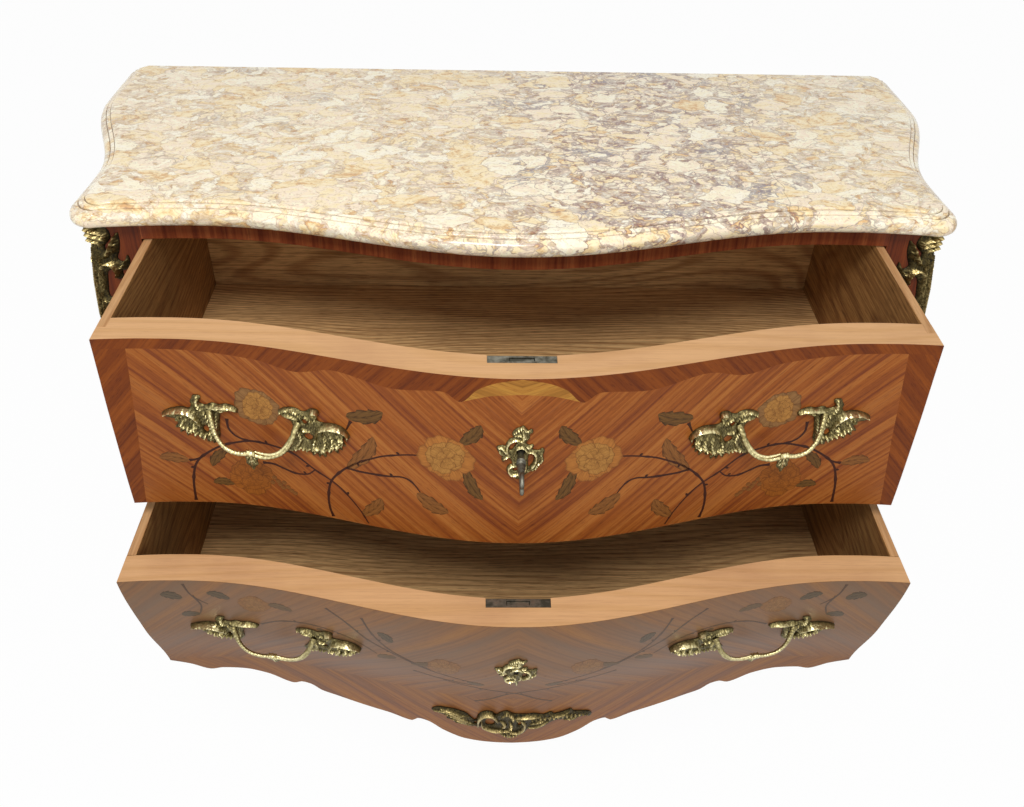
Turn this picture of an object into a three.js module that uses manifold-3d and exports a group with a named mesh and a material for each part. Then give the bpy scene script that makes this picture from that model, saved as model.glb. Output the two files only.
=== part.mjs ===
// Serpentine commode chest with two drawers and a marble top, in millimetres, +Z up, its front towards -Y.
// Both drawers stand partly open. The origin is on the floor under the middle of the whole piece.
import * as THREE from "three";
import { mergeVertices } from "three/addons/utils/BufferGeometryUtils.js";
import Module from "manifold-3d";

const wasm = await Module();
wasm.setup();

// Heights, from the floor up
const LEG_HEIGHT = 325;
const LOWER_FRONT_HEIGHT = 230;
const DIVIDER_HEIGHT = 26;
const UPPER_FRONT_HEIGHT = 231;
const FRIEZE_HEIGHT = 25;
const MARBLE_THICKNESS = 27;
const DRAWER_GAP = 2; // above and below each drawer front
const GLUE_LINE = 0.3; // between fixed pieces that are cut to each other
const CURVED_GAP = 0.5; // between fixed pieces that meet on a curved face
const OVERCUT = 4; // how far a cut runs past what it cuts

// Plan of the case at the frieze, measured from the back and from the middle
const CASE_DEPTH = 428;
const OPENING_HALF = 464;
const POST_FACE = 59; // width of a front post beside the opening
const WAIST_PINCH = 5; // from the front corners in to the waist
const WAIST_FROM_FRONT = 91;
const HAUNCH_SPREAD = 51; // from the front corners out to the haunches
const HAUNCH_DEPTH = 120;
const BACK_PINCH = 3; // from the haunches in to the back corners

// Serpentine of the front
const SERPENTINE = 66; // how far the middle stands before the flanks
const SERPENTINE_MARGIN = 133; // from the trough of the serpentine to the corner
const FLARE = 9; // how far the corners come forward again
const FLARE_WIDTH = 113;
const FLARE_POWER_SHARE = 1.6;

// Swell of the bombe front and sides at heights above the floor, out from the frieze
const ANKLE_HEIGHT = 80;
const FOOT_FRONT_SWELL = -48;
const ANKLE_FRONT_SWELL = -70;
const HEM_FRONT_SWELL = -38;
const LOWER_MIDDLE_SWELL = -4;
const BELLY_SWELL = 18;
const UPPER_MIDDLE_SWELL = 11;
const TOP_SWELL = -2;
const FOOT_SIDE_SWELL = -6;
const ANKLE_SIDE_SWELL = -22;
const HEM_SIDE_SWELL = -8;
const BELLY_SIDE_SWELL = 13;

// Marble slab
const OVERHANG = 18;
const MOULD_WIDTH = 22;
const MOULD_STEP = 3;
const MARBLE_UNDERCUT = 7;
const MARBLE_FRONT_ROUND = 30;
const MARBLE_BACK_ROUND = 9;

// Case members
const POST_DEPTH = 90;
const POST_CANT = 13;
const LEG_BLEND = 70; // height over which a post turns into its leg
const LEG_TOP_THICKNESS = 46;
const ANKLE_THICKNESS = 31;
const FOOT_THICKNESS = 43;
const BACK_POST_WIDTH = 45;
const BACK_POST_DEPTH = 45;
const BACK_ANKLE_WIDTH = 34;
const SIDE_PANEL_THICKNESS = 20;
const SIDE_HEM_DROP = 12;
const SIDE_APRON_DROP = 30;
const BACK_PANEL_THICKNESS = 9;
const BACK_PANEL_INSET = 2;
const BOTTOM_RAIL_DEPTH = 30;
const BOTTOM_RAIL_TONGUE = 8; // how far it stands between the front posts
const BOARD_THICKNESS = 8;
const BOARD_TONGUE = 20; // how far boards and runners reach past the opening
const RUNNER_WIDTH = 52;
const RUNNER_CLEARANCE = 0.4;
const GUIDE_HEIGHT = 18;
const KICKER_HEIGHT = 16;
const BACK_RAIL_DEPTH = 24;

// Drawers
const DRAWER_SIDE_GAP = 2;
const DRAWER_SIDE_THICKNESS = 11;
const DRAWER_BACK_THICKNESS = 10;
const DRAWER_BACK_DROP = 9;
const DRAWER_BOTTOM_THICKNESS = 9;
const DRAWER_BACK_CLEARANCE = 3;
const FRONT_THICKNESS = 40;
const APRON_THICKNESS = 26;
const BOX_RISE = 12; // the drawer box starts this far above the lower edge of its front
const BOTTOM_RISE = 17; // and its bottom board this far above that
const UPPER_KEPT = 221; // depth of the case less how far each drawer stands open
const LOWER_KEPT = 123;

// Shaped lower edge of the apron
const APRON_DROP = 144; // from the ends of the front down to its lowest point

// Locks and key
const UPPER_KEY_DROP = 92; // from the top of the front down to the key
const LOWER_KEY_DROP = 110;
const LOCK_WIDTH = 74;
const LOCK_THICKNESS = 12;
const LOCK_TAIL = 24;
const BOLT_WIDTH = 26;
const BOLT_THICKNESS = 5;
const BOLT_TRAVEL = 8;
const BOLT_REST_DEPTH = 1;
const BOLT_CLEARANCE = 0.5;
const MORTISE_MARGIN = 3;
const KEY_STEM_RADIUS = 3;
const KEY_HOLE_RADIUS = 4.2;
const KEY_SLOT_WIDTH = 4.4;
const KEY_SLOT_DROP = 11;
const KEY_COLLAR_RADIUS = 4.6;
const KEY_COLLAR_LENGTH = 3;
const KEY_PROUD = 62;
const KEY_BOW_RADIUS = 12;
const KEY_BOW_WIRE = 2.4;
const KEY_BIT_REACH = 9.5;
const KEY_BIT_WIDTH = 7;
const KEY_BIT_THICKNESS = 2.6;

// Gilt bronze mounts
const MOUNT_SEAT = 0.6; // between the back of a mount and the wood
const PLATE_STEP = 34; // longest edge of a plate before it is laid on the front
const PULL_MARGIN = 160; // from the middle of a pull to the edge of the opening
const UPPER_PULL_DROP = 114;
const LOWER_PULL_DROP = 125;
const PULL_WIDTH = 216;
const PULL_HEIGHT = 90;
const PULL_PROUD = 30;
const PULL_PLATE = 9;
const PULL_ARM_RADIUS = 3.4;
const PULL_KNOT_RADIUS = 5.5;
const PULL_POST_RADIUS = 2.5;
const PULL_POST_CLEARANCE = 0.6;
const NUT_RADIUS = 7;
const NUT_THICKNESS = 4.5;
const NUT_POCKET_RADIUS = 10;
const NUT_POCKET_DEPTH = 6;
const ESCUTCHEON_WIDTH = 54;
const ESCUTCHEON_HEIGHT = 88;
const ESCUTCHEON_THICKNESS = 3.5;
const APRON_MOUNT_WIDTH = 224;
const APRON_MOUNT_HEIGHT = 92;
const APRON_MOUNT_THICKNESS = 7;
const APRON_MOUNT_RISE = 69; // centre of the mount above the lowest point of the apron
const CHUTE_LENGTH = 168;
const CHUTE_HEAD_DROP = 3;
const CHUTE_HEAD_PROUD = 11;
const CHUTE_HEAD_WIDTH = 30;
const SABOT_HEIGHT = 78;
const SABOT_WALL = 2.6;
const SABOT_SOLE = 4;

// Levels and planes that follow
const LOWER_TOP_Z = LEG_HEIGHT + LOWER_FRONT_HEIGHT;
const DIVIDER_Z = LOWER_TOP_Z + DRAWER_GAP;
const DIVIDER_TOP_Z = DIVIDER_Z + DIVIDER_HEIGHT;
const UPPER_Z = DIVIDER_TOP_Z + DRAWER_GAP;
const UPPER_TOP_Z = UPPER_Z + UPPER_FRONT_HEIGHT;
const FRIEZE_Z = UPPER_TOP_Z + DRAWER_GAP;
const CASE_TOP_Z = FRIEZE_Z + FRIEZE_HEIGHT;
const CORNER_HALF = OPENING_HALF + POST_FACE;
const WAIST_HALF = CORNER_HALF - WAIST_PINCH;
const WAIST_DEPTH = CASE_DEPTH - WAIST_FROM_FRONT;
const HAUNCH_HALF = CORNER_HALF + HAUNCH_SPREAD;
const BACK_HALF = HAUNCH_HALF - BACK_PINCH;
const SERPENTINE_HALF = CORNER_HALF - SERPENTINE_MARGIN;
const BOARD_HALF = OPENING_HALF + BOARD_TONGUE;
const RUNNER_INNER = BOARD_HALF - RUNNER_WIDTH;
const PULL_OFFSET = OPENING_HALF - PULL_MARGIN;
const UPPER_OPEN = CASE_DEPTH - UPPER_KEPT;
const LOWER_OPEN = CASE_DEPTH - LOWER_KEPT;
const POST_BACK_Y = POST_DEPTH - CASE_DEPTH;
const DRAWER_HALF = OPENING_HALF - DRAWER_SIDE_GAP;
const DRAWER_INNER_HALF = DRAWER_HALF - DRAWER_SIDE_THICKNESS;
const BACK_PANEL_FACE_Y = -(BACK_PANEL_INSET + BACK_PANEL_THICKNESS);
const DRAWER_BACK_Y = BACK_PANEL_FACE_Y - DRAWER_BACK_CLEARANCE;
const UPPER_KEY_Z = UPPER_TOP_Z - UPPER_KEY_DROP;
const LOWER_KEY_Z = LOWER_TOP_Z - LOWER_KEY_DROP;
const APRON_LOW_Z = LEG_HEIGHT - APRON_DROP;
const HEM_Z = LEG_HEIGHT - 2 * BOARD_THICKNESS;

const frontSwellKnots = [
  [0, FOOT_FRONT_SWELL],
  [ANKLE_HEIGHT, ANKLE_FRONT_SWELL],
  [LEG_HEIGHT, HEM_FRONT_SWELL],
  [LEG_HEIGHT + LOWER_FRONT_HEIGHT / 2, LOWER_MIDDLE_SWELL],
  [DIVIDER_Z + DIVIDER_HEIGHT / 2, BELLY_SWELL],
  [UPPER_Z + UPPER_FRONT_HEIGHT / 2, UPPER_MIDDLE_SWELL],
  [FRIEZE_Z, 0],
  [CASE_TOP_Z, TOP_SWELL],
];
const sideSwellKnots = [
  [0, FOOT_SIDE_SWELL],
  [ANKLE_HEIGHT, ANKLE_SIDE_SWELL],
  [LEG_HEIGHT, HEM_SIDE_SWELL],
  [DIVIDER_Z + DIVIDER_HEIGHT / 2, BELLY_SIDE_SWELL],
  [FRIEZE_Z, 0],
  [CASE_TOP_Z, TOP_SWELL],
];
const sidePlanKnots = [
  [0, BACK_HALF],
  [HAUNCH_DEPTH, HAUNCH_HALF],
  [WAIST_DEPTH, WAIST_HALF],
  [CASE_DEPTH, CORNER_HALF],
];

// Outlines of the mounts, as shares of each mount's width and height from its middle
const outerWingShares = [
  [-0.472, 0.167], [-0.43, 0.25], [-0.35, 0.275], [-0.312, 0.32], [-0.3, 0.47], [-0.25, 0.475],
  [-0.255, 0.345], [-0.213, 0.34], [-0.14, 0.3], [-0.07, 0.262], [-0.13, 0.215], [-0.17, 0.15],
  [-0.178, -0.03], [-0.2, -0.22], [-0.24, -0.17], [-0.275, -0.22], [-0.31, -0.12], [-0.35, -0.16],
  [-0.38, -0.04], [-0.42, -0.05], [-0.425, 0.09],
];
const innerWingShares = [
  [0.145, 0.335], [0.2, 0.29], [0.265, 0.295], [0.315, 0.36], [0.3, 0.46], [0.345, 0.5],
  [0.385, 0.45], [0.39, 0.32], [0.44, 0.3], [0.5, 0.22], [0.53, 0.11], [0.505, 0.0],
  [0.47, -0.08], [0.455, -0.26], [0.42, -0.36], [0.385, -0.29], [0.345, -0.39], [0.3, -0.23],
  [0.25, -0.27], [0.215, -0.1], [0.225, 0.09], [0.19, 0.2],
];
const outerArmShares = [
  [-0.222, 0.31, 0.2], [-0.204, 0.13, 0.5], [-0.165, -0.05, 0.78], [-0.09, -0.17, 0.9],
  [-0.012, -0.19, 0.88],
];
const innerArmShares = [
  [0.245, 0.27, 0.2], [0.218, 0.08, 0.5], [0.17, -0.08, 0.78], [0.09, -0.2, 0.9],
  [0.012, -0.19, 0.88],
];
const outerRidgeShares = [
  [-0.462, 0.17, 0.24], [-0.4, 0.24, 0.36], [-0.32, 0.18, 0.4], [-0.25, -0.04, 0.32],
];
const innerRidgeShares = [
  [0.52, 0.1, 0.24], [0.45, 0.25, 0.36], [0.36, 0.22, 0.4], [0.285, -0.02, 0.32],
];
const armRadiusShares = [1.25, 1, 0.9, 0.85, 1];
const ridgeRadiusShares = [0.55, 0.85, 0.95, 0.5];
const leafScaleShares = [1.1, 1.9, 0.55]; // pendant leaf across, up and out, as shares of the knot
const pullPostShares = [
  [-0.262, 0.12],
  [0.285, 0.12],
];
const escutcheonShares = [
  [0.03, 0.4], [0.24, 0.33], [0.26, 0.27], [0.17, 0.18], [0.22, 0.09], [0.31, 0.07], [0.46, 0.0],
  [0.48, -0.09], [0.44, -0.19], [0.31, -0.27], [0.18, -0.35], [0.1, -0.43], [0.04, -0.59],
  [-0.04, -0.6], [-0.08, -0.48], [-0.19, -0.43], [-0.3, -0.38], [-0.31, -0.27], [-0.22, -0.19],
  [-0.35, -0.16], [-0.41, -0.09], [-0.5, -0.02], [-0.5, 0.07], [-0.39, 0.09], [-0.31, 0.16],
  [-0.22, 0.23], [-0.2, 0.31], [-0.07, 0.34],
];
const escutcheonHoleShares = [
  [0.21, -0.14, 0.1],
  [-0.15, -0.3, 0.09],
  [-0.24, 0.06, 0.08],
];
const apronMountShares = [
  [-0.5, 0.27], [-0.42, 0.33], [-0.31, 0.29], [-0.23, 0.17], [-0.21, 0.4], [-0.16, 0.48],
  [-0.1, 0.41], [-0.06, 0.48], [0, 0.44], [0.06, 0.48], [0.1, 0.34], [0.2, 0.28], [0.3, 0.23],
  [0.4, 0.15], [0.5, 0.02], [0.42, -0.05], [0.31, -0.02], [0.23, 0.02], [0.18, -0.12],
  [0.12, -0.24], [0.06, -0.42], [0, -0.5], [-0.06, -0.42], [-0.13, -0.25], [-0.19, -0.2],
  [-0.27, -0.04], [-0.36, 0.06], [-0.44, 0.18],
];
const apronMountHoleShares = [
  [-0.15, 0.16, 0.05],
  [0.13, 0.08, 0.035],
];
// Lower edge of the apron: share of its half width from the middle, share of its drop from the ends
const apronEdgeShares = [
  [0, 1], [0.07, 0.99], [0.14, 0.955], [0.205, 0.83], [0.255, 0.67], [0.28, 0.65], [0.305, 0.74],
  [0.37, 0.67], [0.425, 0.64], [0.48, 0.6], [0.53, 0.55], [0.575, 0.5], [0.605, 0.395],
  [0.63, 0.375], [0.66, 0.43], [0.73, 0.28], [0.8, 0.2], [0.86, 0.19], [0.895, 0.22], [0.95, 0.09], [1, 0],
];
// Edge moulding of the marble: share of its width in from the edge, share of its height up
const marbleEdgeShares = [
  [0, 0.34], [0.02, 0.46], [0.14, 0.66], [0.38, 0.82], [0.68, 0.91], [1, 0.94],
];
// Leaf of the corner chutes down their length: share of the width, share of how proud it stands
const chuteShares = [
  [0, 0.55, 0.7], [0.07, 0.95, 1], [0.16, 1, 0.95], [0.26, 0.72, 0.8], [0.36, 0.85, 0.62],
  [0.5, 0.58, 0.5], [0.65, 0.45, 0.45], [0.82, 0.36, 0.38], [1, 0.14, 0.22],
];
const chuteBendShares = [0.3, 0.7];
const sabotShares = [1, 0.72, 0.9, 0.62, 1, 0.72, 0.9, 0.62];

// Finishes
const finishes = {
  veneer: new THREE.MeshStandardMaterial({ color: 0x9a5a2c, roughness: 0.35, metalness: 0 }),
  frieze: new THREE.MeshStandardMaterial({ color: 0x6a2c16, roughness: 0.35, metalness: 0 }),
  oak: new THREE.MeshStandardMaterial({ color: 0x8a6a42, roughness: 0.75, metalness: 0 }),
  marble: new THREE.MeshStandardMaterial({ color: 0xe6d8b4, roughness: 0.2, metalness: 0 }),
  bronze: new THREE.MeshStandardMaterial({ color: 0xa08a4c, roughness: 0.4, metalness: 1 }),
  brass: new THREE.MeshStandardMaterial({ color: 0xb09048, roughness: 0.45, metalness: 1 }),
  steel: new THREE.MeshStandardMaterial({ color: 0x77736c, roughness: 0.45, metalness: 1 }),
};

// A smooth curve through [place, value] knots that never runs past them.
function through(knots, at) {
  const last = knots.length - 1;
  if (at <= knots[0][0]) return knots[0][1];
  if (at >= knots[last][0]) return knots[last][1];
  const slope = (i) => (knots[i + 1][1] - knots[i][1]) / (knots[i + 1][0] - knots[i][0]);
  const tangent = (i) => {
    if (i === 0 || i === last) return i === 0 ? slope(0) : slope(last - 1);
    const before = slope(i - 1);
    const after = slope(i);
    return before * after <= 0 ? 0 : (2 * before * after) / (before + after);
  };
  const k = knots.findIndex((knot, i) => i < last && at < knots[i + 1][0]);
  const width = knots[k + 1][0] - knots[k][0];
  const t = (at - knots[k][0]) / width;
  const rise = t * t * (3 - 2 * t);
  const leave = t * (1 - t) * (1 - t) * width * tangent(k);
  const arrive = t * t * (t - 1) * width * tangent(k + 1);
  return knots[k][1] * (1 - rise) + knots[k + 1][1] * rise + leave + arrive;
}

// How far the serpentine stands before the flanks at a place across the front.
function serpentine(x) {
  const across = Math.min(Math.abs(x) / SERPENTINE_HALF, 1);
  const flareAt = Math.max(0, (Math.abs(x) - CORNER_HALF + FLARE_WIDTH) / FLARE_WIDTH);
  return (SERPENTINE * (1 + Math.cos(Math.PI * across))) / 2 + FLARE * flareAt ** FLARE_POWER_SHARE;
}

const frontY = (x, z) => -(CASE_DEPTH + serpentine(x) + through(frontSwellKnots, z));
const sideX = (y, z) => through(sidePlanKnots, -y) + through(sideSwellKnots, z);
const spread = (from, to, count) =>
  Array.from({ length: count + 1 }, (unused, i) => from + ((to - from) * i) / count);
const blend = (from, to, share) => from + (to - from) * share;

// A closed solid through a row of rings with equally many points. Flatten gives a ring point's place in
// the plane of the end caps; without it the caps are fans.
function loft(rings, flatten) {
  const count = rings[0].length;
  const index = [];
  for (let r = 0; r + 1 < rings.length; r += 1) {
    for (let i = 0; i < count; i += 1) {
      const a = r * count + i;
      const b = r * count + ((i + 1) % count);
      index.push(a, b, b + count, a, b + count, a + count);
    }
  }
  const cap = (ring, start, turned) => {
    const flat = flatten ? ring.map((p) => new THREE.Vector2(...flatten(p))) : null;
    const fan = () => Array.from({ length: count - 2 }, (unused, i) => [0, i + 1, i + 2]);
    const faces = flat ? THREE.ShapeUtils.triangulateShape(flat, []) : fan();
    const winding = flat ? Math.sign(THREE.ShapeUtils.area(flat)) : 1;
    for (const face of faces) {
      const own = flat ? Math.sign(THREE.ShapeUtils.area(face.map((i) => flat[i]))) : 1;
      const [a, b, c] = face.map((i) => i + start);
      if ((own === winding) !== turned) index.push(a, b, c);
      else index.push(a, c, b);
    }
  };
  cap(rings[0], 0, true);
  cap(rings[rings.length - 1], (rings.length - 1) * count, false);
  const geometry = new THREE.BufferGeometry();
  geometry.setAttribute("position", new THREE.Float32BufferAttribute(rings.flat(2), 3));
  geometry.setIndex(index);
  return facingOut(geometry);
}

// Turns the faces round where they point inwards.
function facingOut(geometry) {
  const p = geometry.getAttribute("position");
  const index = geometry.index.array;
  const [a, b, c] = [new THREE.Vector3(), new THREE.Vector3(), new THREE.Vector3()];
  let volume = 0;
  for (let i = 0; i < index.length; i += 3) {
    a.fromBufferAttribute(p, index[i]);
    b.fromBufferAttribute(p, index[i + 1]);
    c.fromBufferAttribute(p, index[i + 2]);
    volume += a.dot(b.cross(c));
  }
  if (volume < 0) {
    for (let i = 0; i < index.length; i += 3) {
      [index[i + 1], index[i + 2]] = [index[i + 2], index[i + 1]];
    }
  }
  return geometry;
}

function bareGeometry(geometry) {
  const bare = geometry.clone();
  bare.deleteAttribute("normal");
  bare.deleteAttribute("uv");
  return mergeVertices(bare);
}

function toSolid(geometry) {
  const merged = bareGeometry(geometry);
  const triVerts = new Uint32Array(merged.index.array);
  const vertProperties = merged.getAttribute("position").array;
  return new wasm.Manifold(new wasm.Mesh({ numProp: 3, vertProperties, triVerts }));
}

function toGeometry(solid) {
  const mesh = solid.getMesh();
  const geometry = new THREE.BufferGeometry();
  geometry.setAttribute("position", new THREE.BufferAttribute(mesh.vertProperties, mesh.numProp));
  geometry.setIndex(new THREE.BufferAttribute(mesh.triVerts, 1));
  return geometry;
}

const joined = (geometries) =>
  toGeometry(geometries.map(toSolid).reduce((sum, solid) => sum.add(solid)));
const cut = (geometry, cutters) =>
  toGeometry(cutters.map(toSolid).reduce((left, solid) => left.subtract(solid), toSolid(geometry)));

// A box between two corners.
function box(low, high) {
  const size = high.map((value, i) => value - low[i]);
  const middle = high.map((value, i) => (value + low[i]) / 2);
  return new THREE.BoxGeometry(...size).translate(...middle);
}

// A round bar along Y.
function barAlongY(x, z, radius, fromY, toY, sides) {
  const length = toY - fromY;
  const bar = new THREE.CylinderGeometry(radius, radius, length, sides);
  return bar.translate(x, fromY + length / 2, z);
}

// A mirror image across the middle plane.
function mirrored(geometry) {
  const other = bareGeometry(geometry);
  other.scale(-1, 1, 1);
  return facingOut(other);
}

// A bent bar of changing radius through points.
function scroll(points, radii, steps, sides) {
  const curve = new THREE.CatmullRomCurve3(points.map((p) => new THREE.Vector3(...p)));
  const frames = curve.computeFrenetFrames(steps, false);
  const knots = radii.map((radius, i) => [i / (radii.length - 1), radius]);
  const rings = spread(0, 1, steps).map((t, i) => {
    const middle = curve.getPointAt(t);
    const radius = through(knots, t);
    return spread(0, 2 * Math.PI, sides).slice(0, sides).map((angle) => {
      const point = middle.clone();
      point.addScaledVector(frames.normals[i], radius * Math.cos(angle));
      point.addScaledVector(frames.binormals[i], radius * Math.sin(angle));
      return point.toArray();
    });
  });
  return loft(rings);
}

// Halves every edge that is longer than a length, in both faces that share it.
function refined(geometry, longest) {
  const bare = bareGeometry(geometry);
  const p = bare.getAttribute("position");
  const pointAt = (unused, i) => new THREE.Vector3().fromBufferAttribute(p, i);
  const points = Array.from({ length: p.count }, pointAt);
  const middles = new Map();
  const middleOf = (a, b) => {
    const edge = `${Math.min(a, b)} ${Math.max(a, b)}`;
    if (!middles.has(edge)) {
      middles.set(edge, points.length);
      points.push(points[a].clone().lerp(points[b], 1 / 2));
    }
    return middles.get(edge);
  };
  const index = [];
  const split = (face) => {
    const turns = [face, [face[1], face[2], face[0]], [face[2], face[0], face[1]]];
    const lengths = turns.map(([a, b]) => points[a].distanceTo(points[b]));
    const most = Math.max(...lengths);
    if (most <= longest) {
      index.push(...face);
      return;
    }
    const [a, b, c] = turns[lengths.indexOf(most)];
    const middle = middleOf(a, b);
    split([a, middle, c]);
    split([middle, b, c]);
  };
  const given = bare.index.array;
  for (let i = 0; i < given.length; i += 3) split([given[i], given[i + 1], given[i + 2]]);
  const fine = new THREE.BufferGeometry().setFromPoints(points);
  return fine.setIndex(index);
}

// A flat plate of a scalloped outline, from the seat up, in mount space: across, up and out.
function plate(outline, holes, thickness) {
  const shape = new THREE.Shape(outline.map(([u, v]) => new THREE.Vector2(u, v)));
  for (const [u, v, radius] of holes) {
    const hole = new THREE.Path();
    hole.absarc(u, v, radius, 0, 2 * Math.PI, false);
    shape.holes.push(hole);
  }
  const options = { depth: thickness, bevelEnabled: false, curveSegments: 4 };
  const flat = new THREE.ExtrudeGeometry(shape, options).translate(0, 0, MOUNT_SEAT);
  return refined(flat, PLATE_STEP);
}

// Lays a mount-space geometry on the front: across and up stay, and out follows the serpentine.
function draped(geometry, x, z) {
  const laid = bareGeometry(geometry);
  const p = laid.getAttribute("position");
  for (let i = 0; i < p.count; i += 1) {
    const [u, v, out] = [p.getX(i) + x, p.getY(i) + z, p.getZ(i)];
    p.setXYZ(i, u, frontY(u, v) - out, v);
  }
  return facingOut(laid);
}

const scaled = (shares, ...sizes) => shares.map((row) => row.map((share, i) => share * sizes[i]));

// Marble slab with its moulded edge
function marbleRing(inset, z) {
  const out = OVERHANG - inset;
  const sideAt = (y) => through(sidePlanKnots, -y) + out;
  const frontAt = (x) => -(CASE_DEPTH + serpentine(Math.min(Math.abs(x), CORNER_HALF)) + out);
  const cornerX = sideAt(-CASE_DEPTH);
  const cornerY = frontAt(cornerX);
  const round = MARBLE_FRONT_ROUND;
  const backRound = MARBLE_BACK_ROUND;
  const right = spread(0, cornerX - round, 12).map((x) => [x, frontAt(x)]);
  for (const t of spread(0, 1, 5).slice(1, 5)) {
    const x = cornerX - round * (1 - t) ** 2;
    right.push([x, cornerY + round * t ** 2]);
  }
  right.push(...spread(cornerY + round, -backRound, 9).map((y) => [sideAt(y), y]));
  right.push([sideAt(0) - backRound, 0]);
  const left = right.slice(1).map(([x, y]) => [-x, y]).reverse();
  return [...right, ...left].map(([x, y]) => [x, y, z]);
}

function marbleTop() {
  const rings = [marbleRing(MARBLE_UNDERCUT, CASE_TOP_Z)];
  const height = MARBLE_THICKNESS;
  for (const [inShare, upShare] of marbleEdgeShares) {
    rings.push(marbleRing(inShare * MOULD_WIDTH, CASE_TOP_Z + upShare * (height - MOULD_STEP / 2)));
  }
  rings.push(marbleRing(MOULD_WIDTH, CASE_TOP_Z + height));
  return loft(rings, ([x, y]) => [x, y]);
}

// Front post and its cabriole leg, on the right. Grow widens the section, for the sabot around it.
function legSection(z, grow) {
  const cornerX = CORNER_HALF + through(sideSwellKnots, z);
  const cornerY = frontY(CORNER_HALF, z);
  const share = THREE.MathUtils.clamp((LEG_HEIGHT - z) / LEG_BLEND, 0, 1);
  const ankle = [
    [0, FOOT_THICKNESS],
    [ANKLE_HEIGHT, ANKLE_THICKNESS],
    [LEG_HEIGHT, LEG_TOP_THICKNESS],
  ];
  const thick = through(ankle, z);
  const innerX = blend(OPENING_HALF, cornerX - thick, share) - grow;
  const innerY = blend(POST_BACK_Y, cornerY + thick, share) + grow;
  const onFront = (x) => blend(frontY(x, z), cornerY, share) - grow;
  const onSide = (y) => blend(sideX(y, z), cornerX, share) + grow;
  const cantX = cornerX - POST_CANT;
  const cantY = cornerY + POST_CANT;
  const softX = cornerX - POST_CANT / 4 + grow;
  const softY = cornerY + POST_CANT / 4 - grow;
  const middleX = (innerX + cantX) / 2;
  const middleY = (innerY + cantY) / 2;
  const points = [
    [innerX, onFront(innerX)],
    [middleX, onFront(middleX)],
    [cantX, onFront(cantX)],
    [softX, softY],
    [onSide(cantY), cantY],
    [onSide(middleY), middleY],
    [onSide(innerY), innerY],
    [innerX, innerY],
  ];
  return points.map(([x, y]) => [x, y, z]);
}

const legBottomZ = SABOT_SOLE + GLUE_LINE;
const legLevels = spread(legBottomZ, LEG_HEIGHT - LEG_BLEND, 9);

function frontPost() {
  const levels = [
    ...legLevels,
    ...spread(LEG_HEIGHT - LEG_BLEND, LEG_HEIGHT, 3).slice(1),
    ...spread(LEG_HEIGHT, CASE_TOP_Z, 11).slice(1),
  ];
  return loft(levels.map((z) => legSection(z, 0)), ([x, y]) => [x, y]);
}

// Bronze shoe of a front foot, with a scalloped crown
function sabot() {
  const below = legLevels.filter((z) => z < SABOT_HEIGHT);
  const above = legLevels.slice(0, below.length + 1);
  const outer = below.map((z) => legSection(z, SABOT_WALL + GLUE_LINE));
  outer[0] = outer[0].map(([x, y]) => [x, y, 0]);
  const crown = legSection(SABOT_HEIGHT, SABOT_WALL + GLUE_LINE);
  const lastZ = below[below.length - 1];
  outer.push(crown.map(([x, y, z], i) => [x, y, blend(lastZ, z, sabotShares[i])]));
  const inner = above.map((z) => legSection(z, GLUE_LINE));
  inner[0] = inner[0].map(([x, y]) => [x, y, SABOT_SOLE]);
  return cut(loft(outer, ([x, y]) => [x, y]), [loft(inner, ([x, y]) => [x, y])]);
}

// Back post and its leg, on the right
function backPost() {
  const widths = [
    [0, BACK_POST_WIDTH],
    [ANKLE_HEIGHT, BACK_ANKLE_WIDTH],
    [LEG_HEIGHT, BACK_POST_WIDTH],
  ];
  const levels = [...spread(0, HEM_Z, 9), ...spread(HEM_Z, CASE_TOP_Z, 9).slice(1)];
  const rings = levels.map((z) => {
    const thick = through(widths, z);
    const share = THREE.MathUtils.clamp((HEM_Z - z) / LEG_BLEND, 0, 1);
    const front = -blend(BACK_POST_DEPTH, thick, share);
    const inner = blend(BACK_HALF - BACK_POST_WIDTH, sideX(0, z) - thick, share);
    const outline = [
      [inner, 0],
      [inner, front],
      [sideX(front, z), front],
      [sideX(front / 2, z), front / 2],
      [sideX(0, z), 0],
    ];
    return outline.map(([x, y]) => [x, y, z]);
  });
  return loft(rings, ([x, y]) => [x, y]);
}

// Swelling side panel between the posts, on the right
function sidePanel() {
  const from = POST_BACK_Y + GLUE_LINE;
  const to = -BACK_POST_DEPTH - GLUE_LINE;
  const rings = spread(from, to, 9).map((y) => {
    const along = (y - from) / (to - from);
    const hem = LEG_HEIGHT - SIDE_HEM_DROP - SIDE_APRON_DROP * Math.sin(Math.PI * along) ** 2;
    const outer = spread(hem, CASE_TOP_Z, 9).map((z) => [sideX(y, z), y, z]);
    const inner = outer.map(([x, , z]) => [x - SIDE_PANEL_THICKNESS, y, z]).reverse();
    return [...outer, ...inner];
  });
  return loft(rings, ([x, , z]) => [x, z]);
}

// A rail with a serpentine front face and a flat back
function serpentineRail(fromZ, toZ, backY) {
  const half = OPENING_HALF - GLUE_LINE;
  const rings = spread(-half, half, 36).map((x) => {
    const face = spread(fromZ, toZ, 2).map((z) => [x, frontY(x, z), z]);
    return [...face, [x, backY, toZ], [x, backY, fromZ]];
  });
  return loft(rings, ([, y, z]) => [y, z]);
}

// Boards and strips inside the case, on the right
const insideEndY = BACK_PANEL_FACE_Y - GLUE_LINE;
const insideStartY = POST_BACK_Y + GLUE_LINE;
const railBackY = POST_BACK_Y + BOTTOM_RAIL_DEPTH - BOTTOM_RAIL_TONGUE;

function dustBoard(startY, z) {
  const low = [-BOARD_HALF, startY, z];
  return box(low, [BOARD_HALF, insideEndY, z + BOARD_THICKNESS]);
}

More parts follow.
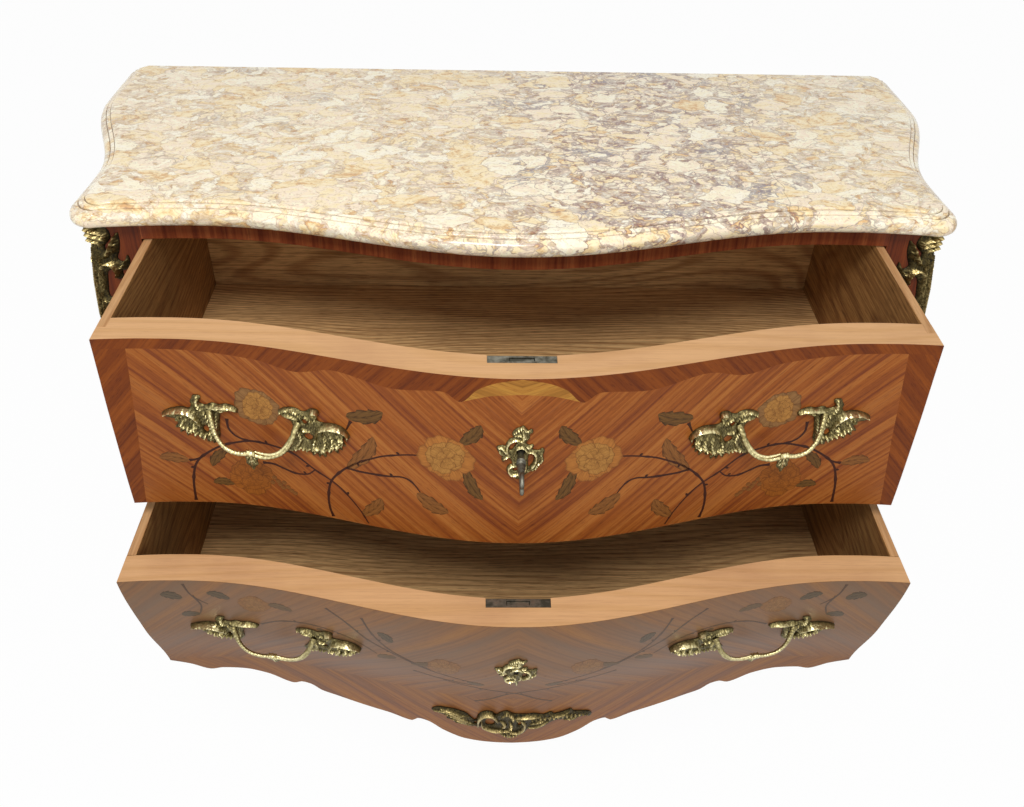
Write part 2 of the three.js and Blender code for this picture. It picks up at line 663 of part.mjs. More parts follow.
const runner = (startY, underZ, topZ) =>
  box([RUNNER_INNER, startY, underZ], [BOARD_HALF, insideEndY, topZ]);
const guide = (startY, onZ) =>
  box([OPENING_HALF, startY, onZ + GLUE_LINE], [BOARD_HALF, insideEndY, onZ + GUIDE_HEIGHT]);

// One drawer, modelled shut. Its sizes follow from the levels of its front.
function drawerPlan(lowZ, topZ, keyZ, pullZ, thicknessAt) {
  return {
    topZ,
    keyZ,
    pullZ,
    thicknessAt,
    boxZ: lowZ + BOX_RISE,
    floorZ: lowZ + BOX_RISE + BOTTOM_RISE,
    lockY: frontY(0, topZ) + FRONT_THICKNESS - LOCK_THICKNESS,
    innerY: (x, z) => frontY(x, z) + thicknessAt(z) + CURVED_GAP,
  };
}

// The block of a drawer front between its shaped lower edge and its straight top.
function frontBlank(stationShares, lowAt, plan, steps) {
  const rings = stationShares.map((share) => {
    const x = share * DRAWER_HALF;
    const levels = spread(lowAt(Math.abs(share)), plan.topZ, steps);
    const face = levels.map((z) => [x, frontY(x, z), z]);
    const back = levels.map((z) => [x, frontY(x, z) + plan.thicknessAt(z), z]).reverse();
    return [...face, ...back];
  });
  return loft(rings, ([, y, z]) => [y, z]);
}

// The round hole and the slot below it that let a key through.
function keyhole(keyZ, fromY, toY) {
  const slotLow = [-KEY_SLOT_WIDTH / 2, fromY, keyZ - KEY_SLOT_DROP];
  return [
    barAlongY(0, keyZ, KEY_HOLE_RADIUS, fromY, toY, 10),
    box(slotLow, [KEY_SLOT_WIDTH / 2, toY, keyZ]),
  ];
}

// Where the posts of a pull pass through, for the left pull and for its mirror image
function pullPosts(plan) {
  const own = scaled(pullPostShares, PULL_WIDTH, PULL_HEIGHT);
  return own.map(([u, v]) => {
    const [x, z] = [u - PULL_OFFSET, plan.pullZ + v];
    const pocketY = frontY(x, z) + plan.thicknessAt(z) - NUT_POCKET_DEPTH;
    return { x, z, faceY: frontY(x, z), pocketY };
  });
}

function drawerFront(blank, plan) {
  const { topZ, keyZ, lockY } = plan;
  const half = LOCK_WIDTH / 2 + GLUE_LINE;
  const lockLowZ = keyZ - LOCK_TAIL - GLUE_LINE;
  const recess = box([-half, lockY - GLUE_LINE, lockLowZ], [half, lockY + FRONT_THICKNESS, topZ + OVERCUT]);
  const cutters = [recess, ...keyhole(keyZ, frontY(0, keyZ) - OVERCUT, lockY + GLUE_LINE)];
  for (const { x, z, faceY, pocketY } of pullPosts(plan)) {
    const radius = PULL_POST_RADIUS + PULL_POST_CLEARANCE;
    const hole = barAlongY(x, z, radius, faceY - OVERCUT, pocketY + OVERCUT, 6);
    const pocket = barAlongY(x, z, NUT_POCKET_RADIUS, pocketY, pocketY + FRONT_THICKNESS, 8);
    cutters.push(hole, pocket, mirrored(hole), mirrored(pocket));
  }
  return cut(blank, cutters);
}

function drawerSide(plan) {
  const rings = spread(plan.boxZ, plan.topZ, 6).map((z) => [
    [DRAWER_INNER_HALF, DRAWER_BACK_Y, z],
    [DRAWER_HALF, DRAWER_BACK_Y, z],
    [DRAWER_HALF, plan.innerY(DRAWER_HALF, z), z],
    [DRAWER_INNER_HALF, plan.innerY(DRAWER_INNER_HALF, z), z],
  ]);
  return loft(rings, ([x, y]) => [x, y]);
}

function drawerBottom(plan) {
  const half = DRAWER_INNER_HALF - GLUE_LINE;
  const rings = [plan.floorZ, plan.floorZ + DRAWER_BOTTOM_THICKNESS].map((z) => {
    const front = spread(-half, half, 30).map((x) => [x, plan.innerY(x, z) + CURVED_GAP, z]);
    return [...front, [half, DRAWER_BACK_Y, z], [-half, DRAWER_BACK_Y, z]];
  });
  return loft(rings, ([x, y]) => [x, y]);
}

function drawerBack(plan) {
  const half = DRAWER_INNER_HALF - GLUE_LINE;
  const lowZ = plan.floorZ + DRAWER_BOTTOM_THICKNESS + GLUE_LINE;
  const low = [-half, DRAWER_BACK_Y - DRAWER_BACK_THICKNESS, lowZ];
  return box(low, [half, DRAWER_BACK_Y, plan.topZ - DRAWER_BACK_DROP]);
}

function lockCase(plan) {
  const { topZ, keyZ, lockY } = plan;
  const half = LOCK_WIDTH / 2;
  const lockBackY = lockY + LOCK_THICKNESS;
  const middleY = lockY + LOCK_THICKNESS / 2;
  const channelX = BOLT_WIDTH / 2 + BOLT_CLEARANCE;
  const channelY = BOLT_THICKNESS / 2 + BOLT_CLEARANCE;
  const bitY = KEY_BIT_WIDTH / 2 + BOLT_CLEARANCE;
  const body = box([-half, lockY, keyZ - LOCK_TAIL], [half, lockBackY, topZ]);
  const channel = box([-channelX, middleY - channelY, keyZ], [channelX, middleY + channelY, topZ + OVERCUT]);
  const bitRoom = barAlongY(0, keyZ, KEY_BIT_REACH + BOLT_CLEARANCE, middleY - bitY, middleY + bitY, 12);
  return cut(body, [channel, bitRoom, ...keyhole(keyZ, lockY - OVERCUT, middleY)]);
}

function bolt(plan) {
  const middleY = plan.lockY + LOCK_THICKNESS / 2;
  const lowZ = plan.keyZ + KEY_BIT_REACH + BOLT_CLEARANCE;
  const low = [-BOLT_WIDTH / 2, middleY - BOLT_THICKNESS / 2, lowZ];
  return box(low, [BOLT_WIDTH / 2, middleY + BOLT_THICKNESS / 2, plan.topZ - BOLT_REST_DEPTH]);
}

// Mortise in the rail above a drawer, for its thrown bolt
function boltMortise(plan, railZ) {
  const middleY = plan.lockY + LOCK_THICKNESS / 2;
  const halfX = BOLT_WIDTH / 2 + MORTISE_MARGIN;
  const halfY = BOLT_THICKNESS / 2 + MORTISE_MARGIN;
  const reach = BOLT_TRAVEL + MORTISE_MARGIN;
  return box([-halfX, middleY - halfY, railZ - OVERCUT], [halfX, middleY + halfY, railZ + reach]);
}

// Key with a turned collar, a bit and a heart-shaped bow that stands upright
function key(plan) {
  const z = plan.keyZ;
  const middleY = plan.lockY + LOCK_THICKNESS / 2;
  const bitY = KEY_BIT_WIDTH / 2;
  const faceY = frontY(0, z);
  const tipY = faceY - KEY_PROUD + KEY_BOW_RADIUS * 2;
  const collarY = faceY - ESCUTCHEON_THICKNESS - MOUNT_SEAT - KEY_COLLAR_LENGTH * 2;
  const stem = barAlongY(0, z, KEY_STEM_RADIUS, tipY, middleY + bitY, 10);
  const collar = barAlongY(0, z, KEY_COLLAR_RADIUS, collarY, collarY + KEY_COLLAR_LENGTH, 12);
  const neck = barAlongY(0, z, KEY_COLLAR_RADIUS, tipY, tipY + KEY_COLLAR_LENGTH, 12);
  const bitLow = [-KEY_BIT_THICKNESS / 2, middleY - bitY, z - KEY_BIT_REACH];
  const bit = box(bitLow, [KEY_BIT_THICKNESS / 2, middleY + bitY, z]);
  const ring = new THREE.TorusGeometry(KEY_BOW_RADIUS - KEY_BOW_WIRE, KEY_BOW_WIRE, 5, 14);
  const bow = ring.rotateY(Math.PI / 2).translate(0, tipY - KEY_BOW_RADIUS + KEY_BOW_WIRE, z);
  return joined([stem, collar, neck, bit, bow]);
}

// Left pull: two rocaille wings that carry two arms with a knot and a leaf between them
function pull(plan) {
  const size = [PULL_WIDTH, PULL_HEIGHT, PULL_PROUD];
  const wing = (shares) => plate(scaled(shares, PULL_WIDTH, PULL_HEIGHT), [], PULL_PLATE);
  const bar = (shares, radiusShares, steps) => {
    const radii = radiusShares.map((share) => share * PULL_ARM_RADIUS);
    return scroll(scaled(shares, ...size), radii, steps, 6);
  };
  const [[, knotV, knotOut]] = scaled(outerArmShares.slice(-1), ...size);
  const knot = new THREE.SphereGeometry(PULL_KNOT_RADIUS, 8, 6);
  knot.translate(0, knotV, knotOut);
  const leaf = new THREE.SphereGeometry(PULL_KNOT_RADIUS, 6, 5);
  leaf.scale(...leafScaleShares).translate(0, knotV - 2 * PULL_KNOT_RADIUS, knotOut);
  const casting = [
    wing(outerWingShares),
    wing(innerWingShares),
    bar(outerArmShares, armRadiusShares, 8),
    bar(innerArmShares, armRadiusShares, 8),
    bar(outerRidgeShares, ridgeRadiusShares, 5),
    bar(innerRidgeShares, ridgeRadiusShares, 5),
    knot,
    leaf,
  ];
  const laid = joined(casting.map((piece) => draped(piece, -PULL_OFFSET, plan.pullZ)));
  const posts = pullPosts(plan).map(({ x, z, faceY, pocketY }) => {
    const endY = pocketY + NUT_THICKNESS + GLUE_LINE + PULL_POST_RADIUS;
    return barAlongY(x, z, PULL_POST_RADIUS, faceY - MOUNT_SEAT - PULL_PLATE / 2, endY, 6);
  });
  return joined([laid, ...posts]);
}

function pullNut({ x, z, pocketY }) {
  const fromY = pocketY + GLUE_LINE;
  const hole = barAlongY(x, z, PULL_POST_RADIUS + GLUE_LINE, pocketY, fromY + NUT_THICKNESS + OVERCUT, 6);
  return cut(barAlongY(x, z, NUT_RADIUS, fromY, fromY + NUT_THICKNESS, 6), [hole]);
}

function escutcheon(plan) {
  const outline = scaled(escutcheonShares, ESCUTCHEON_WIDTH, ESCUTCHEON_HEIGHT);
  const holes = scaled(escutcheonHoleShares, ESCUTCHEON_WIDTH, ESCUTCHEON_HEIGHT, ESCUTCHEON_WIDTH);
  const flat = plate(outline, holes, ESCUTCHEON_THICKNESS);
  const faceY = frontY(0, plan.keyZ);
  const reach = ESCUTCHEON_THICKNESS + MOUNT_SEAT + OVERCUT;
  const hole = keyhole(plan.keyZ, faceY - reach, faceY + reach);
  return cut(draped(flat, 0, plan.keyZ), hole);
}

function apronMount() {
  const outline = scaled(apronMountShares, APRON_MOUNT_WIDTH, APRON_MOUNT_HEIGHT);
  const holes = scaled(apronMountHoleShares, APRON_MOUNT_WIDTH, APRON_MOUNT_HEIGHT, APRON_MOUNT_WIDTH);
  const flat = plate(outline, holes, APRON_MOUNT_THICKNESS);
  return draped(flat, 0, APRON_LOW_Z + APRON_MOUNT_RISE);
}

// Chute of the right front corner: a leaf bent round the edge of the post
function cornerPath(z, width, grow) {
  const [, , frontCant, soft, sideCant] = legSection(z, grow);
  const frontX = frontCant[0] - width;
  const sideY = sideCant[1] + width;
  return [
    [frontX, frontY(frontX, z) - grow, z],
    frontCant,
    soft,
    sideCant,
    [sideX(sideY, z) + grow, sideY, z],
  ];
}

function chute() {
  const headZ = CASE_TOP_Z - CHUTE_HEAD_DROP;
  const rings = chuteShares.map(([downShare, widthShare, proudShare]) => {
    const z = headZ - downShare * CHUTE_LENGTH;
    const width = (widthShare * CHUTE_HEAD_WIDTH) / 2;
    const proud = MOUNT_SEAT + proudShare * CHUTE_HEAD_PROUD;
    const [innerShare, outerShare] = chuteBendShares;
    const under = cornerPath(z, width, MOUNT_SEAT);
    const over = cornerPath(z, width * outerShare, MOUNT_SEAT + (proud - MOUNT_SEAT) * innerShare);
    const crest = cornerPath(z, width * innerShare, proud);
    return [...under, over[4], ...crest.slice(1, 4).reverse(), over[0]];
  });
  return loft(rings, ([x, y]) => [x, y]);
}

const whole = new THREE.Group();
const carcass = new THREE.Group();
const upperDrawer = new THREE.Group();
const lowerDrawer = new THREE.Group();
upperDrawer.position.y = -UPPER_OPEN;
lowerDrawer.position.y = -LOWER_OPEN;
whole.add(carcass, upperDrawer, lowerDrawer);

function add(group, name, geometry, finish) {
  const mesh = new THREE.Mesh(geometry, finishes[finish]);
  mesh.name = name;
  group.add(mesh);
}

function addPair(group, name, geometry, finish) {
  add(group, `right_${name}`, geometry, finish);
  add(group, `left_${name}`, mirrored(geometry), finish);
}

const uprightThickness = () => FRONT_THICKNESS;
const apronThicknessKnots = [
  [APRON_LOW_Z, APRON_THICKNESS],
  [LEG_HEIGHT + BOX_RISE, FRONT_THICKNESS],
];
const apronThickness = (z) => through(apronThicknessKnots, z);
const apronLow = (share) => LEG_HEIGHT - APRON_DROP * through(apronEdgeShares, share);
const upperPlan = drawerPlan(
  UPPER_Z, UPPER_TOP_Z, UPPER_KEY_Z, UPPER_TOP_Z - UPPER_PULL_DROP, uprightThickness,
);
const lowerPlan = drawerPlan(
  LEG_HEIGHT, LOWER_TOP_Z, LOWER_KEY_Z, LOWER_TOP_Z - LOWER_PULL_DROP, apronThickness,
);

function addCarcass() {
  const postGap = OPENING_HALF - GLUE_LINE;
  const betweenPosts = BACK_HALF - BACK_POST_WIDTH - GLUE_LINE;
  const lowerRunnerZ = lowerPlan.boxZ - RUNNER_CLEARANCE;
  const upperRunnerZ = upperPlan.boxZ - RUNNER_CLEARANCE;
  const dustZ = DIVIDER_Z + BOARD_THICKNESS;
  const backRailY = insideEndY - BACK_RAIL_DEPTH;
  const frieze = serpentineRail(FRIEZE_Z, CASE_TOP_Z, POST_BACK_Y);
  const divider = serpentineRail(DIVIDER_Z, DIVIDER_TOP_Z, POST_BACK_Y);
  const lowerRail = [-postGap, POST_BACK_Y - BOTTOM_RAIL_TONGUE, HEM_Z];
  const backRail = [-betweenPosts, backRailY, FRIEZE_Z];
  const backPanel = [-betweenPosts, BACK_PANEL_FACE_Y, HEM_Z];
  const kicker = [RUNNER_INNER, insideStartY, FRIEZE_Z];
  add(carcass, "marble_top", marbleTop(), "marble");
  add(carcass, "frieze_rail", cut(frieze, [boltMortise(upperPlan, FRIEZE_Z)]), "frieze");
  add(carcass, "divider_rail", cut(divider, [boltMortise(lowerPlan, DIVIDER_Z)]), "veneer");
  add(carcass, "bottom_rail", box(lowerRail, [postGap, railBackY, lowerRunnerZ]), "oak");
  add(carcass, "top_back_rail", box(backRail, [betweenPosts, insideEndY, CASE_TOP_Z]), "oak");
  add(carcass, "back_panel", box(backPanel, [betweenPosts, -BACK_PANEL_INSET, CASE_TOP_Z]), "oak");
  add(carcass, "dust_panel", dustBoard(insideStartY, dustZ), "oak");
  add(carcass, "bottom_panel", dustBoard(railBackY + GLUE_LINE, LEG_HEIGHT - BOARD_THICKNESS), "oak");
  addPair(carcass, "front_post", frontPost(), "veneer");
  addPair(carcass, "back_post", backPost(), "veneer");
  addPair(carcass, "side_panel", sidePanel(), "veneer");
  const dustTopZ = dustZ + BOARD_THICKNESS + GLUE_LINE;
  addPair(carcass, "upper_runner", runner(insideStartY, dustTopZ, upperRunnerZ), "oak");
  addPair(carcass, "upper_guide", guide(insideStartY, upperRunnerZ), "oak");
  const lowerStartY = railBackY + GLUE_LINE;
  addPair(carcass, "lower_runner", runner(lowerStartY, LEG_HEIGHT + GLUE_LINE, lowerRunnerZ), "oak");
  addPair(carcass, "lower_guide", guide(lowerStartY, lowerRunnerZ), "oak");
  const kickerEnd = [BOARD_HALF, backRailY - GLUE_LINE, FRIEZE_Z + KICKER_HEIGHT];
  addPair(carcass, "kicker", box(kicker, kickerEnd), "oak");
  addPair(carcass, "corner_chute", chute(), "bronze");
  addPair(carcass, "sabot", sabot(), "bronze");
}

function addDrawer(group, tier, blank, plan) {
  add(group, `${tier}_drawer_front`, drawerFront(blank, plan), "veneer");
  add(group, `${tier}_drawer_right_side`, drawerSide(plan), "oak");
  add(group, `${tier}_drawer_left_side`, mirrored(drawerSide(plan)), "oak");
  add(group, `${tier}_drawer_bottom`, drawerBottom(plan), "oak");
  add(group, `${tier}_drawer_back`, drawerBack(plan), "oak");
  add(group, `${tier}_lock_case`, lockCase(plan), "steel");
  add(group, `${tier}_lock_bolt`, bolt(plan), "steel");
  add(group, `${tier}_escutcheon`, escutcheon(plan), "bronze");
  const leftPull = pull(plan);
  add(group, `${tier}_left_pull`, leftPull, "bronze");
  add(group, `${tier}_right_pull`, mirrored(leftPull), "bronze");
  const places = ["outer", "inner"];
  pullPosts(plan).forEach((post, i) => {
    const nut = pullNut(post);
    add(group, `${tier}_left_${places[i]}_nut`, nut, "brass");
    add(group, `${tier}_right_${places[i]}_nut`, mirrored(nut), "brass");
  });
}

const evenStations = spread(-1, 1, 36);
const apronStations = apronEdgeShares.map(([share]) => share);
const bothWays = [...apronStations.slice(1).map((share) => -share).reverse(), ...apronStations];
const upperBlank = frontBlank(evenStations, () => UPPER_Z, upperPlan, 5);
const lowerBlank = frontBlank(bothWays, apronLow, lowerPlan, 9);

addCarcass();
addDrawer(upperDrawer, "upper", upperBlank, upperPlan);
add(upperDrawer, "key", key(upperPlan), "steel");
addDrawer(lowerDrawer, "lower", lowerBlank, lowerPlan);
add(lowerDrawer, "apron_mount", apronMount(), "bronze");

// Puts the origin on the floor under the middle of the whole piece.
const bounds = new THREE.Box3().setFromObject(whole);
whole.position.y = -(bounds.min.y + bounds.max.y) / 2;

const commode = new THREE.Group();
commode.add(whole);

export default commode;
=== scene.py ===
"""Serpentine commode chest with two open drawers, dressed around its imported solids.

Shapes are worked out in millimetres in the frame of the case, whose back plane is y = 0, and are turned into
metres and moved to the row's frame when a piece is built.
"""

import logging
import math
from dataclasses import dataclass, field
from enum import Enum
from typing import Callable, Iterable, Sequence

import bpy
import numpy as np
from mathutils import Matrix, Vector
from mathutils.geometry import delaunay_2d_cdt


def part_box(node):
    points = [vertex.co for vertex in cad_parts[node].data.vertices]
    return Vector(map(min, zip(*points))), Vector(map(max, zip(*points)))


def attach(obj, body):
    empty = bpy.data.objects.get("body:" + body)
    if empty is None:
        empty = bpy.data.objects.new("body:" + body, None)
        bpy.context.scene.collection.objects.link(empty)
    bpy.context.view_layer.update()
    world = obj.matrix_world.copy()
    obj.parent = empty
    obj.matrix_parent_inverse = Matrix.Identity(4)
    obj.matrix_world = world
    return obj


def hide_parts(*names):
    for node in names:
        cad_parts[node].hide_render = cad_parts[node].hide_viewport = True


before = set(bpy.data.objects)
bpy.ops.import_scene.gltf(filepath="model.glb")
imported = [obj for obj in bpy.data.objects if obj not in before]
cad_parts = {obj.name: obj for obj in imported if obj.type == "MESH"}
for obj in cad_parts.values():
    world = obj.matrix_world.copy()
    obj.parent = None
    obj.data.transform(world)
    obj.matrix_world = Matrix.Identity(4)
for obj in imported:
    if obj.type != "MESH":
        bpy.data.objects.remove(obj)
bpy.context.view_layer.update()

MM = 0.001
BACK_INSET = 2.0
VENEER_MM = 0.6
LOCK_SETBACK = 28.0
SIDES = ("right", "left")
CAST_CREASE = 60.0
WOOD_IOR = 1.46
WAXED_SPECULAR = 0.22
CASE_BACK_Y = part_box("back_panel")[1].y / MM + BACK_INSET
Array = np.ndarray
Points = Sequence[Sequence[float]]
Place = Callable[[Array, Array, Array], Array]
Material = bpy.types.Material
Socket = bpy.types.NodeSocket
log = logging.getLogger("commode")


class Body(Enum):
    """Moving bodies that pieces ride on, and how far each stands open at rest in millimetres."""

    CASE = ("carcass", 0.0)
    UPPER = ("upper_drawer", 207.0)
    LOWER = ("lower_drawer", 305.0)
    KEY = ("key", 207.0)

    @property
    def carrier(self) -> str:
        """The body's name in the frame."""
        return self.value[0]

    @property
    def back_y(self) -> float:
        """Y of the case's back plane as this body carries it at rest, in the frame's millimetres."""
        return CASE_BACK_Y - self.value[1]


def through(knots: Points, at: Array | float) -> Array:
    """Smooth curve through knots that never runs past them.

    Args:
        knots: Rows of a place and a value, places rising.
        at: Places to read.

    Returns:
        The value at each place, held at the end values outside the knots.
    """
    xs, ys = (np.array([row[i] for row in knots], float) for i in (0, 1))
    slopes = np.diff(ys) / np.diff(xs)
    before, after = slopes[:-1], slopes[1:]
    total = np.where(before * after > 0, before + after, 1.0)
    inner = np.where(before * after > 0, 2 * before * after / total, 0.0)
    tangents = np.concatenate([slopes[:1], inner, slopes[-1:]])
    at = np.clip(np.asarray(at, float), xs[0], xs[-1])
    k = np.clip(np.searchsorted(xs, at, side="right") - 1, 0, len(xs) - 2)
    width = xs[k + 1] - xs[k]
    t = (at - xs[k]) / width
    rise = t * t * (3 - 2 * t)
    leave = t * (1 - t) ** 2 * width * tangents[k]
    arrive = t * t * (t - 1) * width * tangents[k + 1]
    return ys[k] * (1 - rise) + ys[k + 1] * rise + leave + arrive


def smooth_path(points: Array, step: float, closed: bool = False) -> Array:
    """Catmull-Rom curve through points, resampled evenly.

    Args:
        points: Points in two or three dimensions, with any further columns carried along.
        step: Spacing of the samples.
        closed: Whether the last point leads back to the first.

    Returns:
        Evenly spaced points on the curve.
    """
    points = np.asarray(points, float)
    if closed:
        padded = np.vstack([points[-1], points, points[:2]])
    else:
        padded = np.vstack([2 * points[0] - points[1], points, 2 * points[-1] - points[-2]])
    samples_a_span = 8
    t = np.arange(samples_a_span)[:, None] / samples_a_span
    pieces = []
    for a, b, c, d in zip(padded, padded[1:], padded[2:], padded[3:]):
        pieces.append(0.5 * (2 * b + (c - a) * t + (2 * a - 5 * b + 4 * c - d) * t**2
                             + (3 * b - a - 3 * c + d) * t**3))
    pieces.append(points[:1] if closed else points[-1:])
    dense = np.vstack(pieces)
    run = np.concatenate([[0], np.cumsum(np.linalg.norm(np.diff(dense[:, :3], axis=0), axis=1))])
    count = max(2, int(round(run[-1] / step)))
    places = np.linspace(0, run[-1], count + 1)
    even = np.stack([np.interp(places, run, column) for column in dense.T], axis=1)
    return even[:-1] if closed else even


@dataclass(frozen=True)
class CaseForm:
    """The bombe and serpentine surfaces that every piece of the case follows."""

    depth: float = 428.0
    opening_half: float = 464.0
    corner_half: float = 523.0
    top_z: float = 843.0
    leg_z: float = 325.0
    leg_turn: float = 70.0
    serpentine_depth: float = 66.0
    serpentine_half: float = 390.0
    flare: float = 9.0
    flare_width: float = 113.0
    cant: float = 13.0
    post_back_y: float = -338.0
    front_swell: tuple = ((0, -48), (80, -70), (325, -38), (440, -4), (570, 18), (700.5, 11), (818, 0), (843, -2))
    side_swell: tuple = ((0, -6), (80, -22), (325, -8), (570, 13), (818, 0), (843, -2))
    side_plan: tuple = ((0, 571), (120, 574), (337, 518), (428, 523))
    leg_thickness: tuple = ((0, 43), (80, 31), (325, 46))
    ring_counts: tuple = (9, 7, 12)

    def serpentine(self, x: Array) -> Array:
        """Works out how far the front stands before the flanks.

        Args:
            x: Places across it.

        Returns:
            The depth at each place.
        """
        across = np.minimum(np.abs(x) / self.serpentine_half, 1)
        flare = np.maximum(0, (np.abs(x) - self.corner_half + self.flare_width) / self.flare_width)
        return self.serpentine_depth * (1 + np.cos(np.pi * across)) / 2 + self.flare * flare**1.6

    def front(self, x: Array, z: Array) -> Array:
        """Y of the front's surface."""
        return -(self.depth + self.serpentine(x) + through(self.front_swell, z))

    def side(self, y: Array, z: Array) -> Array:
        """X of the right side's surface."""
        return through(self.side_plan, -np.asarray(y)) + through(self.side_swell, z)

    def leg_share(self, z: float, leg_z: float) -> float:
        """How far a post has turned into its leg at a height, for a leg that starts at leg_z."""
        return float(np.clip((leg_z - z) / self.leg_turn, 0, 1))

    def corner(self, z: float) -> tuple[float, float]:
        """Where the front and the right side would meet at a height, were the corner not canted."""
        return self.corner_half + float(through(self.side_swell, z)), float(self.front(self.corner_half, z))

    def corner_points(self, z: float, grow: float) -> tuple[Array, Array, Array]:
        """The canted front corner on the right.

        Args:
            z: Height.
            grow: How far outside the surface.

        Returns:
            The cant's front edge, its middle and its side edge.
        """
        share, (corner_x, corner_y) = self.leg_share(z, self.leg_z), self.corner(z)
        cant_x, cant_y = corner_x - self.cant, corner_y + self.cant
        front_y = (1 - share) * float(self.front(cant_x, z)) + share * corner_y - grow
        side_x = (1 - share) * float(self.side(cant_y, z)) + share * corner_x + grow
        soft = np.array([corner_x - self.cant / 4 + grow, corner_y + self.cant / 4 - grow, z])
        return np.array([cant_x, front_y, z]), soft, np.array([side_x, cant_y, z])

    def leg_ring(self, z: float, grow: float = 0.0) -> Array:
        """Outline of the right front post or leg at a height.

        Args:
            z: Height.
            grow: How far outside the wood, for a shoe round it.

        Returns:
            Points round the section.
        """
        share, (corner_x, corner_y) = self.leg_share(z, self.leg_z), self.corner(z)
        thick = float(through(self.leg_thickness, z))
        front_count, cant_count, side_count = self.ring_counts
        inner_x = (1 - share) * self.opening_half + share * (corner_x - thick) - grow
        inner_y = (1 - share) * self.post_back_y + share * (corner_y + thick) + grow
        front_cant, soft, side_cant = self.corner_points(z, grow)
        xs = np.linspace(inner_x, front_cant[0], front_count)[:-1]
        front = np.stack([xs, (1 - share) * self.front(xs, z) + share * corner_y - grow], axis=1)
        control = 2 * soft[:2] - (front_cant[:2] + side_cant[:2]) / 2
        t = np.linspace(0, 1, cant_count)[:, None]
        bend = (1 - t) ** 2 * front_cant[:2] + 2 * t * (1 - t) * control + t**2 * side_cant[:2]
        ys = np.linspace(side_cant[1], inner_y, side_count)[1:]
        side = np.stack([(1 - share) * self.side(ys, z) + share * corner_x + grow, ys], axis=1)
        ring = np.vstack([front, bend, side, [[inner_x, inner_y]]])
        return np.column_stack([ring, np.full(len(ring), z)])


FORM = CaseForm()


@dataclass(frozen=True)
class Drawer:
    """Where a drawer, its lock and its pulls sit in the case, and how far its apron hangs below it."""

    name: str
    body: Body
    low_z: float
    top_z: float
    key_z: float
    pull_z: float
    apron_mm: float = 0.0


UPPER = Drawer("upper", Body.UPPER, 585.0, 816.0, 724.0, 702.0)
LOWER = Drawer("lower", Body.LOWER, 325.0, 555.0, 445.0, 430.0, 144.0)
DRAWERS = (UPPER, LOWER)


def linear(colour: str) -> tuple[float, float, float, float]:
    """The linear RGBA of an sRGB hex colour."""
    parts = [int(colour[i:i + 2], 16) / 255 for i in (1, 3, 5)]
    return (*[p / 12.92 if p <= 0.04045 else ((p + 0.055) / 1.055) ** 2.4 for p in parts], 1.0)


def per_mm(*sizes: float) -> tuple[float, ...]:
    """Texture scales at which features have these sizes in millimetres."""
    return tuple(1 / (size * MM) for size in sizes)


class Recipe:
    """The nodes of one finish in the making."""

    def __init__(self, owner: Material | bpy.types.World) -> None:
        """Clears the owner's nodes.

        Args:
            owner: Material or world that they belong to.
        """
        owner.use_nodes = True
        self.tree = owner.node_tree
        self.tree.nodes.clear()

    def put(self, kind: str, inputs: dict, out: int | str = 0, stops: Sequence = (),
            **settings: object) -> Socket | None:
        """Adds a node with its settings and links.

        Args:
            kind: Node type without its ShaderNode prefix.
            inputs: Values or output sockets by input name or number.
            out: Which of its outputs to return.
            stops: Positions and hex colours of a ramp.
            settings: Attributes of the node.

        Returns:
            The output, or None at the end of the tree.
        """
        made = self.tree.nodes.new("ShaderNode" + kind)
        for name, value in settings.items():
            setattr(made, name, value)
        for i, (position, colour) in enumerate(stops):
            ramp = made.color_ramp.elements
            stop = ramp[i] if i < 2 else ramp.new(position)
            stop.position = position
            stop.color = linear(colour)
        for key, value in inputs.items():
            if isinstance(value, Socket):
                self.tree.links.new(value, made.inputs[key])
            else:
                made.inputs[key].default_value = value
        return made.outputs[out] if made.outputs else None


@dataclass(frozen=True)
class Finish:
    """One finish of the chest, worked out from what the substance is and how its surface was made."""

    name: str

    def build(self) -> Material:
        """Makes the finish.

        Returns:
            The material.
        """
        material = bpy.data.materials.new(self.name)
        r = Recipe(material)
        r.put("OutputMaterial", {"Surface": self.surface(r)})
        return material

    def surface(self, r: Recipe) -> Socket:
        """The finish's own nodes, given by each kind of finish."""
        raise NotImplementedError


